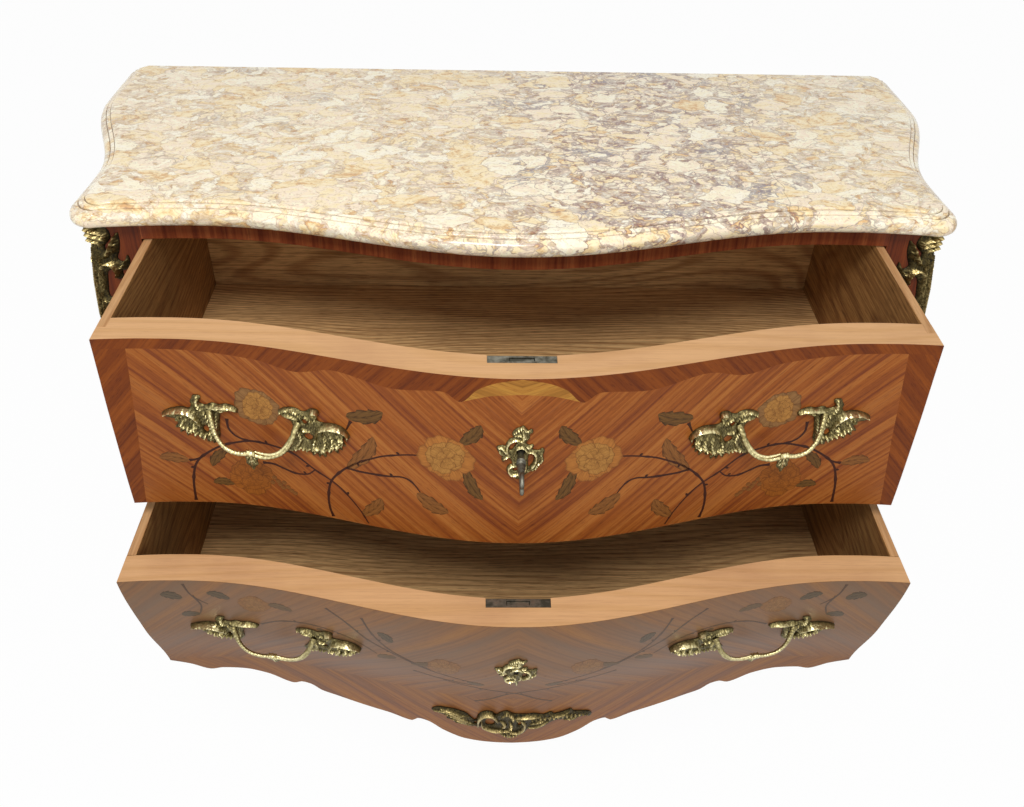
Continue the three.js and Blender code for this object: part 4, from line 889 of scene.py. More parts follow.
@dataclass
class Casting:
    """A bronze relief with a shaped outline, modelled as heights over its seat, in the mount's millimetres."""

    outline: Points
    holes: Sequence[Points] = ()
    strokes: Sequence[Sequence] = ()
    edge: float = 1.0
    plate: float = 4.0
    fall: float = 3.0
    pitch: float = 1.5
    seat: float = 0.6
    chased: float = 0.5
    rim_step: float = 1.1
    row_share: float = 0.87
    clearance: float = 0.5
    root_mm: float = 1.1
    root_share: float = 0.4
    hollow_mark: float = 0.2
    made: tuple | None = None

    def shape(self) -> tuple[Array, Array, Array, Array]:
        """Works out the relief once.

        Returns:
            Places, triangles, heights and height marks.
        """
        if self.made is not None:
            return self.made
        rim = smooth_path(np.array(self.outline, float), self.rim_step, closed=True)
        holes = [smooth_path(np.array(hole, float), self.rim_step, closed=True) for hole in self.holes]
        loops = [rim, *holes]
        low, high = rim.min(axis=0), rim.max(axis=0)
        rows = np.arange(low[1], high[1], self.pitch * self.row_share)
        grid = np.array([(x + (k % 2) * self.pitch / 2, y) for k, y in enumerate(rows)
                         for x in np.arange(low[0], high[0], self.pitch)])
        border = np.concatenate(loops)
        kept = inside(rim, grid)
        for hole in holes:
            kept &= ~inside(hole, grid)
        grid = grid[kept]
        grid = grid[np.linalg.norm(grid[:, None] - border[None], axis=2).min(axis=1) > self.pitch * self.clearance]
        flat = np.concatenate([border, grid])
        edges, start = [], 0
        for loop in loops:
            edges += [(start + i, start + (i + 1) % len(loop)) for i in range(len(loop))]
            start += len(loop)
        net = delaunay_2d_cdt([Vector(p) for p in flat], edges, [], 0, 1e-4)
        flat = np.array([tuple(p) for p in net[0]])
        triangles = np.array([face for face in net[2] if len(face) == 3])
        centres = flat[triangles].mean(axis=1)
        solid = inside(rim, centres)
        for hole in holes:
            solid &= ~inside(hole, centres)
        triangles = triangles[solid]
        used = np.unique(triangles)
        renumber = np.full(len(flat), -1)
        renumber[used] = np.arange(len(used))
        triangles, flat = renumber[triangles], flat[used]
        gap = np.linalg.norm(flat[:, None] - border[None], axis=2).min(axis=1)
        t = np.clip(gap / self.fall, 0, 1)
        ground = self.edge + (self.plate - self.edge) * t * t * (3 - 2 * t)
        raised = np.zeros(len(flat))
        sunk = self.root_share + (1 - self.root_share) * np.clip(gap / self.root_mm, 0, 1)
        for stroke in self.strokes:
            raised = np.maximum(raised, Stroke(*stroke).over(flat) * sunk)
        leafy = np.sin(flat[:, 0] * 1.9 + np.sin(flat[:, 1] * 1.3)) * np.sin(flat[:, 1] * 1.7)
        height = np.maximum(ground + self.chased * leafy * t, raised)
        above = np.clip((height - ground) / max(float((height - ground).max()), 1.0), 0, 1)
        mark = np.clip(0.3 + 0.16 * leafy * t + 0.7 * above ** 0.8, 0, 1)
        self.made = flat, triangles, height, mark
        return self.made

    def add_to(self, block: Block, place: Place) -> None:
        """Adds the casting to a piece.

        Args:
            block: The piece.
            place: Turns across, up and out into points of the case.
        """
        flat, triangles, height, mark = self.shape()
        count = len(flat)
        top = place(flat[:, 0], flat[:, 1], height + self.seat)
        bottom = place(flat[:, 0], flat[:, 1], np.full(count, self.seat))
        faces = [tuple(t) for t in triangles] + [tuple(t[::-1] + count) for t in triangles]
        directed = {(a, b) for t in triangles for a, b in ((t[0], t[1]), (t[1], t[2]), (t[2], t[0]))}
        faces += [(b, a, a + count, b + count) for a, b in directed if (b, a) not in directed]
        block.add(np.concatenate([top, bottom]), faces, relief=np.concatenate([mark, mark * self.hollow_mark]))


def draped(x0: float, z0: float) -> Place:
    """Lays a mount on the front round a middle point.

    Args:
        x0: Middle across.
        z0: Middle height.

    Returns:
        A function from across, up and out to points.
    """
    def place(u: Array, v: Array, out: Array) -> Array:
        """Points of the case."""
        x, z = u + x0, v + z0
        return case_points(x, FORM.front(x, z) - out, z)
    return place


def tube(block: Block, path: Points, radii: Sequence[float], place: Place, bead_mm: float = 0.0,
         bead_share: float = 0.0) -> None:
    """Adds a bar of changing radius along a curve.

    Args:
        block: Piece that it belongs to.
        path: Points in mount space: across, up and out.
        radii: Radii along it.
        place: Turns mount space into the case's space.
        bead_mm: Spacing of its turned rings, if any.
        bead_share: How deep the rings are cut.
    """
    sides, step = 12, 0.9
    line = smooth_path(np.asarray(path, float), step)
    ahead = np.gradient(line, axis=0)
    ahead /= np.linalg.norm(ahead, axis=1)[:, None]
    run = np.arange(len(line)) * step
    radius = np.interp(np.linspace(0, 1, len(line)), np.linspace(0, 1, len(radii)), radii)
    if bead_mm:
        radius = radius * (1 - bead_share * (0.5 - 0.5 * np.cos(2 * np.pi * run / bead_mm)))
    normal = np.cross(ahead[0], (0.0, 0.0, 1.0) if abs(ahead[0][2]) < 0.9 else (1.0, 0.0, 0.0))
    rings = []
    for centre, tangent, r in zip(line, ahead, radius):
        normal = normal - tangent * normal.dot(tangent)
        normal /= np.linalg.norm(normal)
        other = np.cross(tangent, normal)
        angles = np.linspace(0, 2 * np.pi, sides + 1)[:-1]
        rings.append(centre + r * (np.cos(angles)[:, None] * normal + np.sin(angles)[:, None] * other))
    placed = [place(ring[:, 0], ring[:, 1], ring[:, 2]) for ring in rings]
    out = np.concatenate([ring[:, 2] for ring in rings])
    shine = 0.35 + 0.6 * (out - out.min()) / max(float(np.ptp(out)), 1.0)
    if bead_mm:
        shine = shine * np.repeat(0.45 + 0.55 * radius / max(radii), sides)
    block.loft(placed, relief=shine)


def turned(block: Block, centre: Sequence[float], profile: Points, place: Place,
           axis: Sequence[float], sides: int = 20) -> None:
    """Adds a turned body.

    Args:
        block: Piece that it belongs to.
        centre: Where its profile starts.
        profile: Distance along the axis and radius, in order.
        place: Turns its space into the case's space.
        axis: Direction of its axis.
        sides: Points round it.
    """
    line = np.array([np.asarray(centre, float) + np.asarray(axis, float) * a for a, _ in profile])
    across = np.cross(axis, (0, 0, 1) if abs(axis[2]) < 0.9 else (1, 0, 0)).astype(float)
    across /= np.linalg.norm(across)
    other = np.cross(axis, across)
    angles = np.linspace(0, 2 * np.pi, sides + 1)[:-1]
    spokes = np.cos(angles)[:, None] * across + np.sin(angles)[:, None] * other
    rings = [centre_point + max(r, 0.05) * spokes for centre_point, (_, r) in zip(line, profile)]
    widest = max(r for _, r in profile)
    shine = np.repeat([0.25 + 0.7 * r / widest for _, r in profile], sides)
    block.loft([place(ring[:, 0], ring[:, 1], ring[:, 2]) for ring in rings], relief=shine)


@dataclass
class MarbleSlab:
    """The marble top with its groove and rounded edge."""

    finish: Material
    overhang: float = 18.0
    mould_width: float = 22.0
    thickness: float = 27.0
    front_round: float = 30.0
    back_round: float = 9.0
    ring_counts: tuple = (70, 12, 50)
    # Rows of the moulded edge: inset share, height share, and a mark that is 0 in the grooves, where the marble is
    # painted darker as shade together with grime.
    edge: tuple = ((0.32, 0.0, 1), (0.2, 0.02, 1), (0.1, 0.07, 1), (0.03, 0.17, 1), (0.0, 0.3, 1), (0.0, 0.42, 1),
                   (0.035, 0.54, 1), (0.1, 0.63, 1), (0.2, 0.7, 1), (0.32, 0.755, 1), (0.41, 0.78, 0.8),
                   (0.425, 0.735, 0), (0.465, 0.735, 0), (0.475, 0.83, 0.8), (0.52, 0.872, 1), (0.62, 0.895, 1),
                   (0.715, 0.905, 0.9), (0.725, 0.87, 0), (0.76, 0.87, 0), (0.77, 0.955, 0.8), (0.82, 0.985, 1),
                   (0.92, 1.0, 1), (1.1, 1.0, 1))

    def ring(self, inset: float, z: float) -> Array:
        """Outline of the slab.

        Args:
            inset: How far in from its edge.
            z: Height.

        Returns:
            Points round it.
        """
        out = self.overhang - inset

        def side_at(y: Array) -> Array:
            """X of the slab's side."""
            return through(FORM.side_plan, -np.asarray(y)) + out

        def front_at(x: Array) -> Array:
            """Y of the slab's front."""
            return -(FORM.depth + FORM.serpentine(np.minimum(np.abs(x), FORM.corner_half)) + out)

        corner_x = float(side_at(-FORM.depth))
        corner_y = float(front_at(corner_x))
        front_count, corner_count, side_count = self.ring_counts
        xs = np.linspace(0, corner_x - self.front_round, front_count)
        t = np.linspace(0, 1, corner_count)[1:-1]
        ys = np.linspace(corner_y + self.front_round, -self.back_round, side_count)
        right = np.vstack([
            np.stack([xs, front_at(xs)], axis=1),
            np.stack([corner_x - self.front_round * (1 - t) ** 2, corner_y + self.front_round * t**2], axis=1),
            np.stack([side_at(ys), ys], axis=1),
            [[float(side_at(0)) - self.back_round, 0]],
        ])
        left = (right[1:] * (-1, 1))[::-1]
        ring = np.vstack([right, left])
        return np.column_stack([ring, np.full(len(ring), z)])

    def build(self) -> None:
        """Builds the slab."""
        block = Block()
        rings = [self.ring(share * self.mould_width, FORM.top_z + up * self.thickness) for share, up, _ in self.edge]
        block.loft(rings, relief=np.concatenate([np.full(len(rings[0]), clean) for _, _, clean in self.edge]))
        block.build("marble_slab", Body.CASE, [self.finish], "marble", ["marble_top"])


@dataclass
class CaseWork:
    """Veneered posts, sides and rails of the case, with the bare core behind their veneer."""

    veneer: Material
    dark_veneer: Material
    frieze: Material
    core: Material
    levels: int = 110
    girth_level: int = 60
    foot_z: float = 4.3
    back_leg: tuple = ((0, 45), (80, 34), (325, 45))
    back_post_mm: float = 45.0
    back_inner_x: float = 526.0
    back_leg_z: float = 309.0
    side_y: tuple = (-337.7, -45.3)
    side_mm: float = 20.0
    band_mm: float = 26.0
    quarter_z: float = 575.0
    slant: tuple = (0.62, 0.78)
    own_grain: float = 8.0
    hem_z: float = 313.0
    hem_arch: float = 30.0
    rail_half: float = 463.7

    def front_posts(self) -> None:
        """Builds the front posts with their legs."""
        rings = [FORM.leg_ring(z) for z in np.linspace(self.foot_z, FORM.top_z, self.levels)]
        girth = np.concatenate([[0], np.cumsum(np.linalg.norm(np.diff(rings[self.girth_level], axis=0), axis=1))])
        grain = np.concatenate([np.column_stack([girth, ring[:, 2], np.full(len(girth), 40)]) for ring in rings])
        block = Block()
        block.loft(rings, grain=grain)
        block.build_pair("front_post_veneered", [self.dark_veneer], "veneer", "front_post")

    def back_posts(self) -> None:
        """Builds the back posts with their legs."""
        rings, grains = [], []
        for z in np.linspace(0, FORM.top_z, self.levels):
            thick = float(through(self.back_leg, z))
            share = FORM.leg_share(z, self.back_leg_z)
            front = -((1 - share) * self.back_post_mm + share * thick)
            inner = (1 - share) * self.back_inner_x + share * (float(FORM.side(0, z)) - thick)
            ys = np.linspace(front, 0, 6)
            ring = np.vstack([[[inner, 0], [inner, front]], np.column_stack([FORM.side(ys, z), ys])])
            rings.append(np.column_stack([ring, np.full(len(ring), z)]))
            grains.append(np.column_stack([np.arange(len(ring)) * 14.0, np.full(len(ring), z), np.zeros(len(ring))]))
        block = Block()
        block.loft(rings, grain=np.concatenate(grains))
        block.build_pair("back_post_shaped", [self.dark_veneer], "veneer", "back_post")

    def hem(self, share: Array) -> Array:
        """Height of a side's lower edge at shares of its depth."""
        return self.hem_z - self.hem_arch * np.sin(np.pi * share) ** 2

    def side_panels(self) -> None:
        """Builds the swelling sides: a quartered field inside a crossbanded border."""
        (from_y, to_y), band = self.side_y, self.band_mm
        share, up = np.meshgrid(np.linspace(0, 1, 61), np.linspace(0, 1, 61), indexing="ij")
        y, hem = from_y + share * (to_y - from_y), self.hem(share)
        z = hem + up * (FORM.top_z - hem)
        x = FORM.side(y, z)
        block = Block()
        block.slab(case_points(x - VENEER_MM, y, z), case_points(x - self.side_mm, y, z), 1)
        middle_y, (slow, fast) = (from_y + to_y) / 2, self.slant
        share, up = np.meshgrid(np.linspace(0, 1, 22), np.linspace(0, 1, 40), indexing="ij")
        columns = (from_y, from_y + band, middle_y, to_y - band, to_y)
        for column, (ya, yb) in enumerate(zip(columns, columns[1:])):
            y = ya + share * (yb - ya)
            low = self.hem((y - from_y) / (to_y - from_y))
            rows = (low, low + band, self.quarter_z, FORM.top_z - band, FORM.top_z)
            for row, (za, zb) in enumerate(zip(rows, rows[1:])):
                z = za + up * (zb - za)
                outer = case_points(FORM.side(y, z), y, z)
                slot = 2
                if column in (0, 3):
                    grain = case_points(z, y, self.own_grain * column)
                elif row in (0, 3):
                    grain = case_points(y, z, self.own_grain * row)
                else:
                    slot = 0
                    dy, dz = np.abs(y - middle_y), np.abs(z - self.quarter_z)
                    grain = case_points(dy * slow + dz * fast, dz * slow - dy * fast, 0)
                block.slab(outer, outer - (VENEER_MM, 0, 0), slot, grain=grain)
        block.build_pair("side_veneered", [self.veneer, self.core, self.dark_veneer], "veneer", "side_panel")

    def rails(self) -> None:
        """Builds the serpentine rails over and under the upper drawer."""
        across = np.linspace(-self.rail_half, self.rail_half, 181)
        for name, low, high, finish, slot_name in (("frieze_rail", 818, 843, self.frieze, "frieze_veneer"),
                                                   ("divider_rail", 557, 583, self.dark_veneer, "veneer")):
            x, z = np.meshgrid(across, np.linspace(low, high, 7), indexing="ij")
            block = Block()
            block.slab(case_points(x, FORM.front(x, z), z), case_points(x, FORM.post_back_y, z),
                       (0, 1, 1, 1, 1, 1), grain=case_points(x, z, low))
            block.build(f"{name}_veneered", Body.CASE, [finish, self.core], slot_name, [name])

    def build(self) -> None:
        """Builds the case."""
        self.front_posts()
        self.back_posts()
        self.side_panels()
        self.rails()


@dataclass
class Motif:
    """Leaves, roses and stems of the marquetry, sawn from dyed veneer and let into one half of a front.

    Places are given as millimetres from the middle plane and above the floor.
    """

    block: Block
    side: int
    proud: float = 0.12
    sheet: float = 0.3

    def lay(self, over: Array, z: Array, slot: int, grain: Array, scorch: Array, lift: float = 0.0) -> None:
        """Lays one piece of inlay on the front.

        Args:
            over: Grid of distances from the middle.
            z: Grid of heights.
            slot: Material number.
            grain: Grain coordinates of the grid.
            scorch: Marks of the grid, 0 where the sand has scorched it most.
            lift: How far above the other inlay.
        """
        x = self.side * over
        outer = case_points(x, FORM.front(x, z) - self.proud - lift, z)
        self.block.slab(outer, outer + (0, self.sheet, 0), slot, grain=grain, relief=np.clip(scorch, 0, 1))

    def leaf(self, base: Sequence[float], tip: Sequence[float], width: float, slot: int, bend: float = 0.08,
             teeth: int = 4, lift: float = 0.0) -> None:
        """Inlays a toothed leaf with its veins.

        Args:
            base: Where its stalk ends.
            tip: Its point.
            width: Its widest.
            slot: Material number.
            bend: How far it curves, as a share of its length.
            teeth: Teeth along each edge.
            lift: How far above the other inlay.
        """
        rows, columns = 6 * max(teeth, 2) + 1, 11
        base, tip = np.array(base, float), np.array(tip, float)
        axis = tip - base
        length = float(np.linalg.norm(axis))
        across = np.array([-axis[1], axis[0]]) / length
        t, s = np.linspace(0, 1, rows)[:, None], np.linspace(-1, 1, columns)[None, :]
        arch = np.sin(np.pi * t)
        w = width / 2 * np.sin(np.pi * t**0.72) ** 0.75 * (1.06 - 0.3 * ((teeth * t) % 1)) + 0.2
        spine = base + t * axis + (bend * length * arch) * across
        grid = spine[:, None, :] + (w * s)[:, :, None] * across
        grid = grid + (0.16 * length * np.abs(s) * arch)[:, :, None] * axis / length
        rim, rib = np.abs(s) ** 5, np.exp(-((s / 0.13) ** 2))
        veins = np.abs(np.cos(np.pi * (4.5 * t - 0.9 * np.abs(s)))) ** 10
        grain = case_points(w * s, t * length, slot * 9)
        self.lay(grid[..., 0], grid[..., 1], slot, grain, 0.95 - 0.8 * rim - 0.5 * rib - 0.4 * veins, lift)

    def petal(self, centre: Sequence[float], angle: float, near: float, far: float, width: float, slot: int,
              lift: float) -> None:
        """Inlays a petal with a waved rim.

        Args:
            centre: Middle of the flower.
            angle: Its direction.
            near: Where it starts from the middle.
            far: Where it ends.
            width: Its width.
            slot: Material number.
            lift: How far above the other inlay.
        """
        t, s = np.linspace(0, 1, 12)[:, None], np.linspace(-1, 1, 17)[None, :]
        w = width / 2 * (0.3 + 0.7 * np.sin(np.pi / 2 * t) ** 0.8)
        wave = 1 + 0.05 * np.cos(2.5 * np.pi * s + 3 * angle) - 0.34 * np.abs(s) ** 2.6
        radial = near + (far - near) * t * wave
        c, d = math.cos(angle), math.sin(angle)
        over = centre[0] + radial * c - w * s * d
        z = centre[1] + radial * d + w * s * c
        grain = case_points(w * s, radial, slot * 11 + 3 * angle)
        shade = 0.35 + 0.62 * t**0.7 - 0.75 * t**14 - 0.6 * np.abs(s) ** 12
        self.lay(over, z, slot, grain, shade, lift)

    def rose(self, centre: Sequence[float], radius: float, outer: int, inner: int) -> None:
        """Inlays a rose: ragged outer petals, a cupped ring and a curled heart.

        Args:
            centre: Its middle.
            radius: Its size.
            outer: Material of the outer petals.
            inner: Material of the others.
        """
        rings = ((6, 0.3, 1.0, 1.05, outer), (5, 0.16, 0.74, 0.86, inner), (5, 0.1, 0.55, 0.62, inner),
                 (3, 0.04, 0.36, 0.46, inner), (2, 0.0, 0.2, 0.3, inner))
        for k, (count, near, far, width, slot) in enumerate(rings):
            for i in range(count):
                uneven = math.sin(5.1 * i + 2.3 * k + centre[0])
                angle = 0.7 * k + centre[1] + 2 * math.pi * (i + 0.16 * uneven) / count
                reach = far * (1 + 0.1 * math.cos(3.7 * i + k))
                self.petal(centre, angle, near * radius, reach * radius, width * radius, slot,
                           0.012 * k + 0.0015 * i)

    def stem(self, points: Points, width: float, slot: int) -> None:
        """Inlays a stem with its knots and thorns.

        Args:
            points: Its course.
            width: Its width.
            slot: Material number.
        """
        step, knot_gap, thorn_gap, columns = 1.5, 38.0, 54.0, 3
        line = smooth_path(np.array(points, float), step)
        ahead = np.gradient(line, axis=0)
        ahead /= np.linalg.norm(ahead, axis=1)[:, None]
        across = np.stack([-ahead[:, 1], ahead[:, 0]], axis=1)
        run = np.arange(len(line)) * step
        taper = np.interp(run / max(run[-1], 1), (0, 0.5, 1), (1, 0.85, 0.55))
        w = width / 2 * taper * (1 + 0.5 * np.abs(np.cos(np.pi * run / knot_gap)) ** 24)
        s = np.linspace(-1, 1, columns)
        grid = line[:, None, :] + (w[:, None] * s)[:, :, None] * across[:, None, :]
        grain = case_points(w[:, None] * s, run[:, None], 70)
        self.lay(grid[..., 0], grid[..., 1], slot, grain, np.full(grid.shape[:2], 0.7))
        thorns = range(int(thorn_gap / step), len(line) - 4, int(thorn_gap / step))
        for k, i in enumerate(thorns):
            out = across[i] * (1 if k % 2 else -1) - 0.6 * ahead[i]
            self.leaf(line[i] + 0.4 * out, line[i] + (1.4 + width) * out, width * 0.8, slot, 0, 0)


@dataclass(frozen=True)
class Spray:
    """Drawing of one half of a front's marquetry, in millimetres from the middle plane and above the floor."""

    stems: tuple
    leaves: tuple
    roses: tuple
    seeds: tuple = ()
    stem_mm: float = 3.0

    def inlay(self, motif: Motif) -> None:
        """Lets the drawing into a front.

        Args:
            motif: One half of the front.
        """
        grey, tan, olive, brown, dark, rosy, ruddy = range(7)
        for line in self.stems:
            motif.stem(line, self.stem_mm, dark)
        for base, tip, width, wood in self.leaves:
            motif.leaf(base, tip, width, (olive, brown)[wood])
        for centre, radius, wood in self.roses:
            motif.rose(centre, radius, (grey, rosy, ruddy)[wood], (tan, tan, ruddy)[wood])
        for i, (over, z) in enumerate(self.seeds):
            motif.leaf((over + 3, z + 1), (over - 3, z - 1), 5.5, brown, 0.0, 0, 0.01 + 0.001 * i)


UPPER_SPRAY = Spray(
    stems=(((388, 588), (387, 603), (385, 621), (380, 641), (373, 653), (363, 662), (345, 674), (327, 681), (305, 686),
            (280, 683), (258, 676), (235, 658), (208, 639), (187, 611), (176, 588)),
           ((331, 715), (331, 702), (326, 693), (318, 688), (306, 686)),
           ((297, 656), (284, 656), (271, 651), (258, 647), (244, 649), (235, 657)),
           ((219, 588), (222, 602), (222, 620), (218, 641), (210, 655), (196, 670), (182, 681), (168, 689), (152, 697),
            (132, 703), (117, 706), (105, 707)),
           ((196, 670), (183, 668), (163, 668), (147, 669), (132, 671), (121, 666), (112, 653)),
           ((186, 738), (192, 725)), ((385, 651), (376, 653), (367, 658))),
    leaves=(((385, 651), (419, 655), 15, 1), ((337, 672), (359, 643), 13, 0), ((335, 619), (362, 618), 12, 0),
            ((191, 743), (149, 757), 19, 0), ((195, 668), (162, 722), 18, 1), ((65, 729), (43, 756), 17, 0),
            ((61, 696), (41, 652), 15, 0), ((116, 651), (80, 627), 20, 1), ((182, 600), (158, 633), 17, 1)),
    roses=(((293, 736), 25, 0), ((314, 631), 27, 2), ((82, 708), 30, 1)),
    seeds=((286, 635), (282, 630), (289, 627), (280, 625), (275, 629), (277, 621), (271, 623), (267, 618), (263, 615)))
LOWER_SPRAY = Spray(
    stems=(((389, 549), (385, 527), (377, 513), (369, 504)), ((383, 524), (378, 500), (384, 478)),
           ((222, 536), (201, 512), (177, 475), (143, 446), (103, 417), (72, 401), (54, 392)),
           ((180, 531), (171, 496), (155, 463), (131, 440), (105, 420)), ((127, 407), (94, 393), (54, 380)),
           ((51, 319), (31, 329), (5, 350), (-40, 366), (-90, 388)), ((313, 460), (286, 477), (255, 484), (224, 480),
                                                                     (196, 466), (170, 440))),
    leaves=(((396, 518), (420, 527), 17, 0), ((339, 520), (365, 531), 15, 0), ((265, 512), (294, 517), 14, 1),
            ((384, 479), (407, 473), 14, 0), ((148, 482), (163, 504), 15, 0), ((146, 440), (170, 430), 12, 1),
            ((128, 430), (100, 444), 12, 1), ((60, 392), (38, 384), 12, 1), ((240, 478), (222, 462), 12, 1)),
    roses=(((312, 512), 19, 1), ((232, 424), 24, 0), ((88, 436), 21, 1)), stem_mm=2.6)


@dataclass
class DrawerFront:
    """One drawer front: its solid core, the leaves of veneer on it and the marquetry in them."""

    drawer: Drawer
    field_veneer: Material
    border_veneer: Material
    arch_veneer: Material
    core: Material
    edge_wood: Material
    inlays: Sequence[Material]
    spray: Spray
    half: float = 462.0
    seam_z: float = 331.0
    border_mm: tuple = (14, 26, 35)
    top_band: tuple = ((0, 0.4), (25, 5), (46, 14.5), (65, 32), (83, 21), (137, 26), (201, 16), (245, 26), (287, 18),
                       (397, 12.5), (462, 12))
    arch: tuple = ((0, 19), (30, 21.5), (46, 25.5), (65, 32))
    arch_half: float = 65.0
    wall: tuple = ((181, 26), (337, 40))
    apron_edge: tuple = ((0, 1), (0.07, 0.99), (0.14, 0.955), (0.205, 0.83), (0.255, 0.67), (0.28, 0.65),
                         (0.305, 0.74), (0.37, 0.67), (0.425, 0.64), (0.48, 0.6), (0.53, 0.55), (0.575, 0.5),
                         (0.605, 0.395), (0.63, 0.375), (0.66, 0.43), (0.73, 0.28), (0.8, 0.2), (0.86, 0.19),
                         (0.895, 0.22), (0.95, 0.09), (1, 0))

    def net(self, width: float, columns: int, rows: int) -> tuple[Array, Array]:
        """Grids of the places across a leaf, from 0 to its width, and of the shares up it, from 0 to 1."""
        return np.meshgrid(width * np.linspace(0, 1, columns), np.linspace(0, 1, rows), indexing="ij")

    def low(self, x: Array) -> Array:
        """Height of the lower edge at places across."""
        share = through(self.apron_edge, np.minimum(np.abs(x) / self.half, 1))
        return self.drawer.low_z - self.drawer.apron_mm * share

    def thickness(self, z: Array) -> Array:
        """Thickness of the front at heights, thinner down the apron."""
        return through(self.wall, z)

    def build_core(self) -> None:
        """Builds the core with the recess that the lock stands in."""
        lock_half, lock_tail, play, held_half, wall, step = 37.3, 24.3, 0.3, 40, 0.05, 0.0004
        lock_y = float(FORM.front(0, self.drawer.top_z)) + LOCK_SETBACK - play
        x = np.unique(np.concatenate([np.linspace(-self.half, self.half, 170), [-lock_half, lock_half]]))
        x = np.sort(np.concatenate([x, [-lock_half - wall, lock_half + wall]]))
        low, held = self.low(x)[:, None], self.low(np.clip(x, -held_half, held_half))
        tail = ((self.drawer.key_z - lock_tail - held) / (self.drawer.top_z - held))[:, None]
        below, above = np.linspace(0, 1, 34)[:-1] * tail, tail + (1 - tail) * np.linspace(0, 1, 22)[1:]
        share = np.hstack([below, tail, tail + step, above])
        x = np.broadcast_to(x[:, None], share.shape)
        z = low + share * (self.drawer.top_z - low)
        front = FORM.front(x, z)
        recess = (np.abs(x) <= lock_half) & (share > tail + step / 2)
        behind = np.where(recess, lock_y, front + self.thickness(z))
        block = Block()
        block.slab(case_points(x, front + VENEER_MM, z), case_points(x, behind, z), (0, 0, 0, 1, 0, 0))
        block.build(f"{self.drawer.name}_front_core", self.drawer.body, [self.core, self.edge_wood], "veneer",
                    [f"{self.drawer.name}_drawer_front"])

    def leaf(self, block: Block, x: Array, z: Array, angle_deg: float, number: int, slot: int) -> None:
        """Lays a leaf of veneer.

        Args:
            block: The sheet of veneer that it belongs to.
            x: Grid of places across.
            z: Grid of heights.
            angle_deg: Direction of its grain from the level, on the left half.
            number: Number of the leaf in its bundle.
            slot: Material number.
        """
        y = FORM.front(x, z)
        rise = np.concatenate([np.zeros_like(z[:, :1]), np.hypot(np.diff(z, axis=1), np.diff(y, axis=1))], axis=1)
        up = np.cumsum(rise, axis=1) + (z[:, :1] - self.drawer.low_z)
        over = np.abs(x)
        c, s = math.cos(math.radians(angle_deg)), math.sin(math.radians(angle_deg))
        along, across = over * c + up * s, -over * s + up * c
        outer = case_points(x, y, z)
        grain = case_points(across, along, number * 23.0)
        block.slab(outer, outer + (0, VENEER_MM - 0.02, 0), slot, grain=grain)

    def build_veneer(self) -> None:
        """Veneers the front: book-matched fields, and on the upper front a border and an arch."""
        block, (low_z, top_z) = Block(), (self.drawer.low_z, self.drawer.top_z)
        border = tuple(zip(np.linspace(low_z, top_z, 3), self.border_mm))
        for sign in (-1, 1):
            if self.drawer is LOWER:
                x, q = self.net(self.half, 110, 40)
                low = self.low(x)
                self.leaf(block, sign * x, np.maximum(self.seam_z, low) + q * (top_z - self.seam_z), -45, 1, 0)
                self.leaf(block, sign * x, low + q * (self.seam_z - 0.05 - low), 45, 1, 0)
                continue
            p, q = self.net(1.0, 70, 40)
            wide = through(border, low_z + q * (top_z - low_z))
            x = (self.half - wide) * (1 - p)
            depth = np.where(x < self.arch_half, through(self.arch, x), through(self.top_band, x))
            self.leaf(block, sign * x, low_z + q * (top_z - depth - low_z), 45, 0, 0)
            x = self.half - wide * p
            self.leaf(block, sign * x, low_z + q * (top_z - through(self.top_band, x) - low_z), -48, 3, 1)
            x, q = self.net(self.half, 140, 8)
            self.leaf(block, sign * x, top_z - through(self.top_band, x) * (1 - q), -48, 4, 1)
            x, q = self.net(self.arch_half, 30, 8)
            low, high = through(self.arch, x), through(self.top_band, x)
            self.leaf(block, sign * x, top_z - low + q * (low - high + 0.02), 20, 5, 2)
        name = f"{self.drawer.name}_front_veneer"
        block.build(name, self.drawer.body, [self.field_veneer, self.border_veneer, self.arch_veneer], "veneer",
                    [f"{self.drawer.name}_drawer_front"], 30.0)

    def build_marquetry(self) -> None:
        """Inlays the sprays of flowers, mirrored across the middle."""
        block = Block()
        for side in (-1, 1):
            self.spray.inlay(Motif(block, side))
        block.build(f"{self.drawer.name}_front_marquetry", self.drawer.body, self.inlays, "veneer")

    def build(self) -> None:
        """Builds the front."""
        self.build_core()
        self.build_veneer()
        self.build_marquetry()


